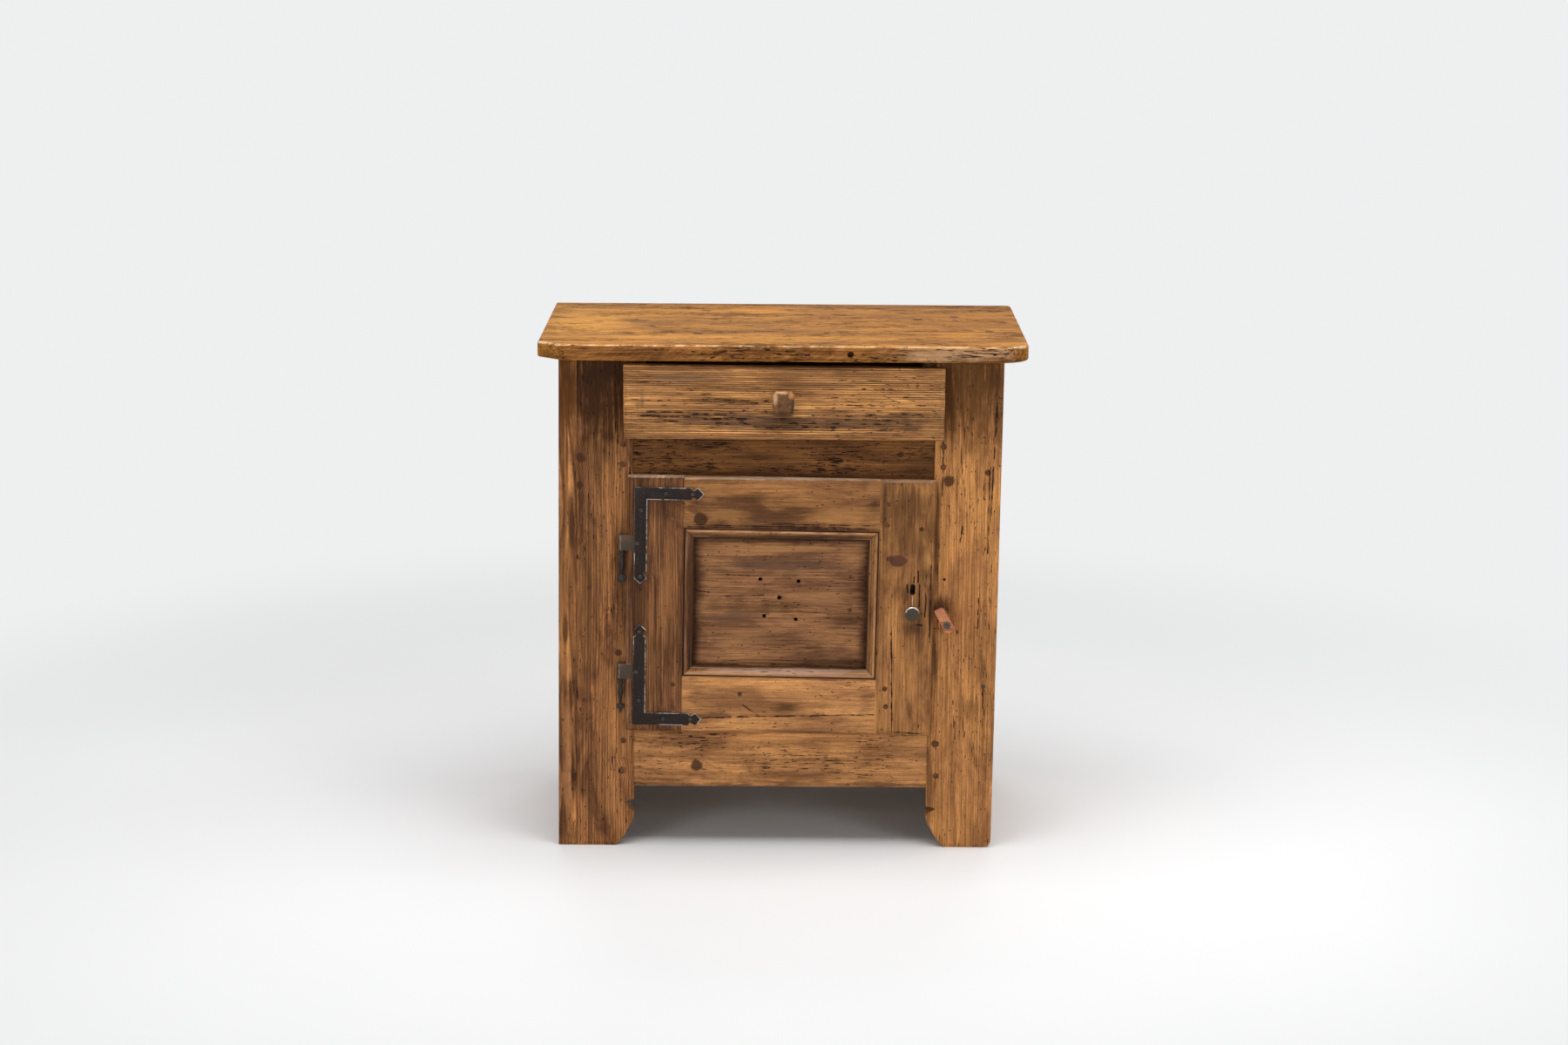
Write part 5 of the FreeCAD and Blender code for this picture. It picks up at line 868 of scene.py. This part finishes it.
def dress_drawer():
    dress_board(
        "drawer_front", "X", (0.0, -0.16, 1.02), (0.55, 0.248, 0.086), spot=drawer_spot, spacing=0.0034,
        wave=0.01, swirl=0.0005, rings=0.95, lines=0.62, streaks=0.14, depth=0.2, blotch=0.34, sway=0.001,
        ridges=1.0, cracks=0.5, worm=0.12, edge=0.35,
        # The small deep smudge just below the knob paints the knob's shadow.
        smudges=(
            (0.02, 0.674, 0.26, 0.014, 0.7), (-0.12, 0.678, 0.12, 0.014, 0.62),
            (0.1, 0.68, 0.13, 0.016, 0.62), (-0.1, 0.708, 0.09, 0.006, 0.7),
            (0.005, 0.678, 0.04, 0.018, 0.95), (0.0, 0.758, 0.26, 0.005, 0.4),
        ),
        rubs=(
            (0.242, 0.705, 0.0035, 0.08, 0.8, (0.5, 0.25, 0.1, 1)),
            (0.0, 0.6525, 0.3, 0.005, 0.75, (0.34, 0.148, 0.056, 1), 0.3, 0.5),
            (-0.2125, 0.706, 0.005, 0.022, 0.5, (0.1, 0.055, 0.035, 1), 0.8),
            (-0.219, 0.698, 0.004, 0.016, 0.4, (0.1, 0.055, 0.035, 1), 0.8),
            (0.0, 0.677, 0.28, 0.017, 0.72, (0.105, 0.053, 0.031, 1)),
            (-0.15, 0.742, 0.07, 0.009, 0.35, (0.2, 0.125, 0.08, 1)),
        ),
        splits=tuple(
            (x, z, x + run, z - 0.0004, width)
            for x, z, run, width in (
                (-0.205, 0.69, 0.055, 0.0013), (-0.215, 0.6835, 0.075, 0.0015),
                (-0.19, 0.6765, 0.04, 0.0012), (-0.135, 0.687, 0.05, 0.0014), (-0.12, 0.68, 0.07, 0.0015),
                (-0.1, 0.6735, 0.045, 0.0014), (-0.06, 0.6925, 0.05, 0.0012), (-0.045, 0.667, 0.06, 0.0015),
                (0.01, 0.674, 0.075, 0.0016), (0.03, 0.668, 0.05, 0.0014), (0.045, 0.686, 0.06, 0.0013),
                (0.095, 0.68, 0.07, 0.0015), (0.11, 0.6735, 0.045, 0.0013), (0.15, 0.689, 0.06, 0.0012),
                (-0.23, 0.708, 0.06, 0.0012), (-0.12, 0.709, 0.07, 0.0014), (-0.08, 0.7045, 0.05, 0.0012),
                (0.085, 0.702, 0.055, 0.0011), (0.12, 0.727, 0.06, 0.001), (-0.215, 0.736, 0.05, 0.001),
                (0.075, 0.74, 0.08, 0.001),
            )
        ),
    )
    inner = {"rings": 0.45, "blotch": 0.3, "cracks": 0.3, "worm": 0.03, "polish": 0.62, "edge": 0.25}
    dress_board("drawer_side_left", "Y", (-0.3, 0.0, 0.66), RAW, **inner)
    dress_board("drawer_side_right", "Y", (0.3, 0.0, 0.66), RAW, **inner)
    dress_board("drawer_back", "X", (0.0, 0.26, 0.62), RAW, **inner)
    dress_board("drawer_bottom", "X", (0.0, 0.02, 0.55), RAW, **inner)
    dress_board(
        "drawer_knob", "Y", (0.02, 0.0, 0.7), (0.148, 0.058, 0.016), rings=0.3, polish=0.3, cracks=0.0,
        worm=0.0, blotch=0.6, cloud=2.5, lines=0.3, streaks=0.2, sheen=0.25, edge=0.0,
        # The smudges and the dark rubs on its right and lower sides paint its shade, and the pale rubs on its
        # left and top its highlights; the orange rub is a chip.
        smudges=(
            ((0.0165, -0.2345, 0.703), (0.007, 0.012, 0.024), 1.0),
            ((0.0008, -0.2345, 0.6915), (0.022, 0.012, 0.006), 0.8),
        ),
        rubs=(
            ((0.017, -0.2345, 0.706), (0.005, 0.012, 0.02), 0.75, DARK, 0.4),
            ((0.001, -0.2345, 0.6915), (0.018, 0.012, 0.004), 0.65, DARK, 0.4),
            ((-0.012, -0.235, 0.716), (0.006, 0.01, 0.014), 0.85, (0.58, 0.32, 0.16, 1), 0.5),
            ((-0.003, -0.233, 0.7248), (0.014, 0.012, 0.003), 0.8, (0.6, 0.35, 0.17, 1)),
            ((0.0125, -0.2282, 0.7195), (0.006, 0.006, 0.008), 0.9, (0.56, 0.24, 0.085, 1), 0.5),
        ),
    )


def dress_door():
    worn = {"ridges": 0.25, "edge_width": 0.009, "polish": 0.36}
    dress_board(
        "door_hinge_stile", "Z", (-0.05, -0.17, 0.0), (0.21, 0.085, 0.034), spot=door_spot, spacing=0.0036,
        wave=0.02, rings=0.55, lines=0.85, blotch=0.75, cracks=0.3, worm=0.08, edge=0.5,
        moulded=(0.3, 0.155, 0.085, 1), **worn,
        smudges=(
            (0.02, 0.21, 0.018, 0.12, 0.7), (0.045, 0.36, 0.05, 0.04, 0.6), (0.06, 0.13, 0.03, 0.03, 0.4),
            (0.084, 0.2, 0.007, 0.12, 0.65), (0.0965, 0.205, 0.008, 0.13, 0.8),
        ),
        rubs=(
            # These pale rubs are wear on the door's top and left arrises, with a painted highlight along the
            # top one.
            (0.043, 0.401, 0.08, 0.0028, 0.8, WEAR_AND_HIGHLIGHT, 0.04), (0.0, 0.2, 0.0022, 0.3, 0.35, WEAR_AND_HIGHLIGHT, 0.3),
            (0.062, 0.215, 0.014, 0.075, 0.45, (0.36, 0.155, 0.055, 1)),
        ),
    )
    dress_board(
        "door_lock_stile", "Z", (0.12, -0.16, 0.0), (0.315, 0.137, 0.047), spot=door_spot, spacing=0.004,
        rings=0.24, lines=0.36, streaks=0.25, blotch=0.65, sway=0.006, cracks=0.3, worm=0.16,
        edge=0.4, moulded=(0.54, 0.275, 0.14, 1), **worn,
        smudges=(
            (0.4377, 0.172, 0.024, 0.018, 0.75), (0.425, 0.225, 0.016, 0.022, 0.6),
            (0.466, 0.21, 0.006, 0.07, 0.9), (0.43, 0.36, 0.05, 0.04, 0.45), (0.463, 0.33, 0.01, 0.04, 0.5),
        ),
        splits=(
            (0.4067, 0.1745, 0.4114, 0.002, 0.0016), (0.4114, 0.006, 0.458, 0.004, 0.0016),
            (0.444, 0.1762, 0.453, 0.176, 0.0018), (0.465, 0.27, 0.4655, 0.15, 0.0014),
            (0.4455, 0.262, 0.445, 0.244, 0.0015), (0.439, 0.252, 0.4388, 0.243, 0.0013),
            (0.459, 0.258, 0.456, 0.238, 0.0017), (0.429, 0.24, 0.43, 0.228, 0.0016),
            (0.4475, 0.24, 0.448, 0.206, 0.0013), (0.458, 0.228, 0.4575, 0.19, 0.0013),
            (0.442, 0.282, 0.442, 0.276, 0.0015),
        ),
        knots=((0.4485, 0.327, 0.0032),),
        rubs=(
            # The first pale rub is wear along the door's top arris, with a painted highlight.
            (0.427, 0.401, 0.07, 0.0024, 0.5, WEAR_AND_HIGHLIGHT, 0.08), (0.4376, 0.214, 0.001, 0.012, 0.8, WEAR_AND_HIGHLIGHT, 0.2),
            *PATCH_STAIN,
            (0.459, 0.282, 0.008, 0.016, 0.6, (0.58, 0.29, 0.09, 1)), (0.427, 0.33, 0.06, 0.09, 0.55, DARK),
        ),
    )
    dress_board(
        "door_top_rail", "X", (0.0, -0.15, 0.44), (0.245, 0.106, 0.039), spot=door_spot, spacing=0.006,
        wave=0.06, rings=0.2, lines=0.26, streaks=0.2, blotch=0.8, sway=0.008, cracks=0.3,
        worm=0.14, moulded=(0.62, 0.34, 0.19, 1), **worn,
        knots=((0.1119, 0.3359, 0.009),),
        smudges=(
            (0.27, 0.352, 0.035, 0.008, 0.8), (0.2, 0.372, 0.06, 0.012, 0.55),
            # The smudges at 0.326 and 0.308, along the top of the opening, paint shade on the moulding, with
            # some dirt.
            (0.375, 0.365, 0.012, 0.018, 0.5), (0.235, 0.326, 0.15, 0.005, 0.6),
            (0.235, 0.308, 0.15, 0.006, 0.85),
        ),
        rubs=(
            (0.15, 0.345, 0.05, 0.014, 0.45, (0.46, 0.215, 0.07, 1)),
            (0.32, 0.345, 0.06, 0.014, 0.45, (0.46, 0.215, 0.07, 1)),
            # This pale rub is wear along the door's top arris, with a painted highlight.
            (0.235, 0.401, 0.3, 0.0026, 0.75, WEAR_AND_HIGHLIGHT, 0.25),
        ),
        splits=(
            (0.092, 0.324, 0.378, 0.3242, 0.0012), (0.1, 0.3272, 0.38, 0.3268, 0.001),
            (0.22, 0.3305, 0.384, 0.331, 0.0009),
        ),
    )
    dress_board(
        "door_bottom_rail", "X", (0.0, -0.15, 0.14), (0.405, 0.182, 0.067), spot=door_spot, spacing=0.0052,
        wave=0.04, rings=0.26, lines=0.32, streaks=0.25, blotch=0.55, sway=0.006, cracks=0.42, worm=0.12,
        edge=0.4, moulded=(0.56, 0.31, 0.18, 1), **worn,
        knots=((0.1754, 0.062, 0.0035),),
        smudges=(
            (0.245, 0.042, 0.024, 0.008, 0.8), (0.12, 0.025, 0.05, 0.012, 0.6),
            (0.37, 0.06, 0.015, 0.02, 0.4),
        ),
        splits=((0.119, 0.023, 0.382, 0.033, 0.0014), (0.18, 0.045, 0.205, 0.028, 0.001),),
        # The pale rub along the moulding paints a highlight on it.
        rubs=((0.24, 0.0985, 0.16, 0.0055, 0.75, (0.46, 0.29, 0.21, 1), 0.6),),
    )
    dress_board(
        "door_panel", "X", (0.0, -0.14, 0.25), (0.262, 0.117, 0.051), spot=panel_spot, spacing=0.0046,
        wave=0.05, rings=0.3, streaks=0.18, blotch=0.58, sway=0.006, ridges=0.35, cracks=0.52,
        worm=0.16, edge=0.92, edge_width=0.0155, polish=0.4,
        # edge darkens a wide band round the panel: painted shade where it lies sunk below the moulding. The
        # smudges along its sides and the dark rub under its top paint the same shade, with some dirt.
        smudges=(
            (0.235, 0.268, 0.15, 0.012, 0.55), (0.235, 0.3035, 0.15, 0.005, 0.9),
            (0.2, 0.196, 0.14, 0.013, 0.7), (0.35, 0.18, 0.05, 0.02, 0.6), (0.366, 0.235, 0.02, 0.07, 0.85),
            (0.366, 0.15, 0.016, 0.06, 0.85), (0.104, 0.24, 0.018, 0.08, 1.0),
            (0.104, 0.15, 0.012, 0.06, 0.95), (0.35, 0.112, 0.05, 0.008, 0.8),
            (0.28, 0.125, 0.06, 0.008, 0.5),
        ),
        splits=(
            (0.105, 0.222, 0.125, 0.219, 0.0016), (0.14, 0.213, 0.21, 0.216, 0.0012),
            (0.15, 0.248, 0.2, 0.246, 0.001), (0.255, 0.305, 0.305, 0.304, 0.0014),
            *((x, z - 0.0004, x, z + 0.001, 0.0036) for x, z in VENTS),
        ),
        rubs=(
            (0.235, 0.2905, 0.13, 0.0085, 0.75, (0.44, 0.205, 0.078, 1), 0.5),
            (0.235, 0.265, 0.13, 0.013, 0.7, (0.12, 0.062, 0.038, 1)),
            (0.165, 0.184, 0.07, 0.012, 0.6, (0.105, 0.053, 0.034, 1)),
            (0.18, 0.15, 0.055, 0.022, 0.45, (0.42, 0.2, 0.08, 1)),
            (0.3, 0.215, 0.05, 0.02, 0.4, (0.4, 0.19, 0.078, 1)),
        ),
    )
    peg = pine(
        "peg_end", "Y", (0.02, 0.0, 0.3), (0.135, 0.056, 0.022), rings=0.4, cracks=0.1, worm=0.0, cloud=3.0
    )
    dress("door_pegs", peg)
    dress("carcass_pegs", peg)
    dress_board(
        "door_patch", "Z", (0.12, -0.16, 0.0), (0.27, 0.118, 0.043), spot=door_spot, rings=0.24, cracks=0.0,
        worm=0.0, lines=0.36, streaks=0.25, edge=0.0, arris=0.0,
        rubs=(*PATCH_STAIN,),
    )
    dress_board(
        "turn_button", "X", (0.24, -0.2, 0.34), (0.42, 0.16, 0.082), rings=0.2, cracks=0.25, worm=0.0,
        edge=0.0, blotch=0.4, cloud=2.0,
    )


# ---------------------------------------------------------------- iron


def iron(name, body, worn, rough=0.45, metal=0.6, rust=0.5, broken=None, above=False, edges=()):
    """Forged iron: dark scale with small pits and clouds of rust, rubbed bright in specks."""
    material, g, surface = new_material(name)
    coordinates = g.node("ShaderNodeTexCoord").outputs
    at = coordinates["Object"]
    cloud = g.noise(at, (60.0, 60.0, 60.0), 5.0, 0.65)
    fine = g.noise(at, (420.0, 420.0, 420.0), 3.0, 0.6)
    warm = tuple(value * factor for value, factor in zip(body[:3], (2.4, 1.5, 1.1))) + (1,)
    colour = g.blend(g.span(cloud, 0.45, 0.75, 0.0, rust), body, warm)
    colour = g.blend(g.span(fine, 0.64, 0.8, 0.0, 0.5), colour, worn)
    colour = g.times(colour, g.span(fine, 0.28, 0.44, 0.45, 1.0))
    if broken or edges:
        patches = g.noise(at, (95.0, 95.0, 95.0), 3.0, 0.7)
    if broken:
        colour = g.blend(g.span(patches, 0.5, 0.6), colour, broken)
        # Faces that turn downwards are darkened as painted shade, so that only the rim's upper faces keep the
        # bright colour, a painted highlight.
        if above:
            colour = g.blend(g.fall(g.split(coordinates["Normal"])[2], 0.05, 0.3), colour, broken)
    line = 0.0
    for first, last in edges:
        line = g.split_line(at, first, last, RUBBED_WIDTH, line)
    if edges:
        colour = g.blend(g.product(line, g.span(patches, 0.42, 0.58, 0.62, 0.06)), colour, EDGE_IRON)
    g.feed(surface.inputs["Base Color"], colour)
    surface.inputs["Metallic"].default_value = metal
    surface.inputs["Specular IOR Level"].default_value = 0.3
    g.feed(surface.inputs["Roughness"], g.span(cloud, 0.3, 0.7, rough - 0.1, rough + 0.15))
    relief = g.bump(cloud, 0.45, 0.001)
    relief = g.bump(fine, 0.4, 0.0004, relief)
    g.feed(surface.inputs["Normal"], relief)
    return material


BLACK_IRON = (0.018, 0.0125, 0.0105, 1)
BROWN_IRON = (0.062, 0.044, 0.031, 1)
RUBBED = (0.3, 0.27, 0.25, 1)
EDGE_IRON = (0.66, 0.6, 0.54, 1)
RUBBED_WIDTH = 0.0008

# The straps, measured like door_spot.
STRAP_DEPTH = -0.0149
STRAP_EDGE = 0.0108
STRAP_WIDTH = 0.0192
STRAP_REACH = 0.1165
SPEAR_NOTCH = 0.0205
SPEAR_SHOULDER = 0.009


def strap_lines(edge, inward, tip):
    """The edges of a strap that hands have rubbed bright. inward is -1 where the tall leg runs down."""
    inset, start, end = 0.0005, 0.048, 0.088
    far_x = STRAP_EDGE + STRAP_WIDTH
    inner_z = edge + STRAP_WIDTH * inward
    middle_x, middle_z = STRAP_EDGE + STRAP_WIDTH / 2, edge + STRAP_WIDTH / 2 * inward
    half = STRAP_WIDTH / 2 - inset
    pairs = [
        ((far_x, inner_z - inset * inward), (STRAP_REACH - SPEAR_NOTCH, inner_z - inset * inward)),
        ((start, edge + inset * inward), (end, edge + inset * inward)),
        ((far_x - inset, inner_z), (far_x - inset, tip - SPEAR_NOTCH * inward)),
        ((STRAP_EDGE + inset, tip - start * inward), (STRAP_EDGE + inset, tip - SPEAR_NOTCH * inward)),
    ]
    for side in (-half, half):
        pairs.append(((STRAP_REACH - SPEAR_SHOULDER, middle_z + side), (STRAP_REACH - inset, middle_z)))
        pairs.append(((middle_x + side, tip - SPEAR_SHOULDER * inward), (middle_x, tip - inset * inward)))
    return [(door_spot(*first, STRAP_DEPTH), door_spot(*last, STRAP_DEPTH)) for first, last in pairs]


def dress_iron():
    bright = iron("rubbed_edge", EDGE_IRON, (0.92, 0.88, 0.82, 1), metal=0.1, rust=0.0, broken=BLACK_IRON)
    dull = iron("dull_edge", (0.16, 0.125, 0.095, 1), (0.4, 0.34, 0.28, 1), rust=0.0, broken=BROWN_IRON)
    for node, edge, inward, tip in (("strap_upper", 0.3846, -1, 0.2334), ("strap_lower", 0.0108, 1, 0.1701)):
        black = iron(f"{node}_iron", BLACK_IRON, RUBBED, edges=strap_lines(edge, inward, tip))
        finished(node, black, ease=0.001, worn=bright)
    for node in ("pintle_upper", "pintle_lower"):
        finished(node, iron(f"{node}_iron", (0.03, 0.025, 0.023, 1), (0.4, 0.37, 0.34, 1), rough=0.36))
    nail = iron("nail_head", (0.045, 0.038, 0.034, 1), (0.62, 0.58, 0.54, 1), rough=0.3)
    for node in ("strap_nails", "pintle_nails"):
        finished(node, nail, ease=0.0006)
    brown = iron("brown_iron", BROWN_IRON, RUBBED)
    for node in ("leaf_upper", "leaf_lower"):
        finished(node, brown, ease=0.0006, worn=dull)
    for node in ("stile_nail", "edge_screw"):
        finished(node, brown, ease=0.0004)
    pull = iron("pull_iron", (0.06, 0.045, 0.031, 1), (0.26, 0.22, 0.18, 1), rough=0.4, rust=0.3)
    # The rim's bright colour on its upper faces is a painted highlight, with some wear.
    rim = iron(
        "pull_rim_highlight", (0.62, 0.59, 0.54, 1), (0.82, 0.8, 0.76, 1), rough=0.3, metal=0.85, rust=0.0,
        broken=(0.09, 0.072, 0.053, 1), above=True,
    )
    finished("door_pull", pull, ease=0.0009, worn=rim)
    grey = iron("lock_iron", (0.18, 0.17, 0.16, 1), (0.4, 0.38, 0.36, 1), rough=0.42, rust=0.3)
    for node in ("lock_case", "lock_bolt", "lock_screws", "kicker_screws"):
        finished(node, grey, ease=0.0003)
    dirty = iron("dirty_screw", (0.085, 0.07, 0.057, 1), (0.34, 0.3, 0.26, 1), rough=0.4, rust=0.4)
    finished("turn_button_screw", dirty, ease=0.0003)


for make in (make_rings_group, make_fibre_group, make_wear_group, make_stray_group, make_knot_group,
             make_soft_mark_group, make_split_group, make_edges_group, make_moulding_group):
    make()
make_camera()
make_studio()
dress_carcass()
dress_drawer()
dress_door()
dress_iron()

bpy.context.scene.view_settings.view_transform = "Standard"
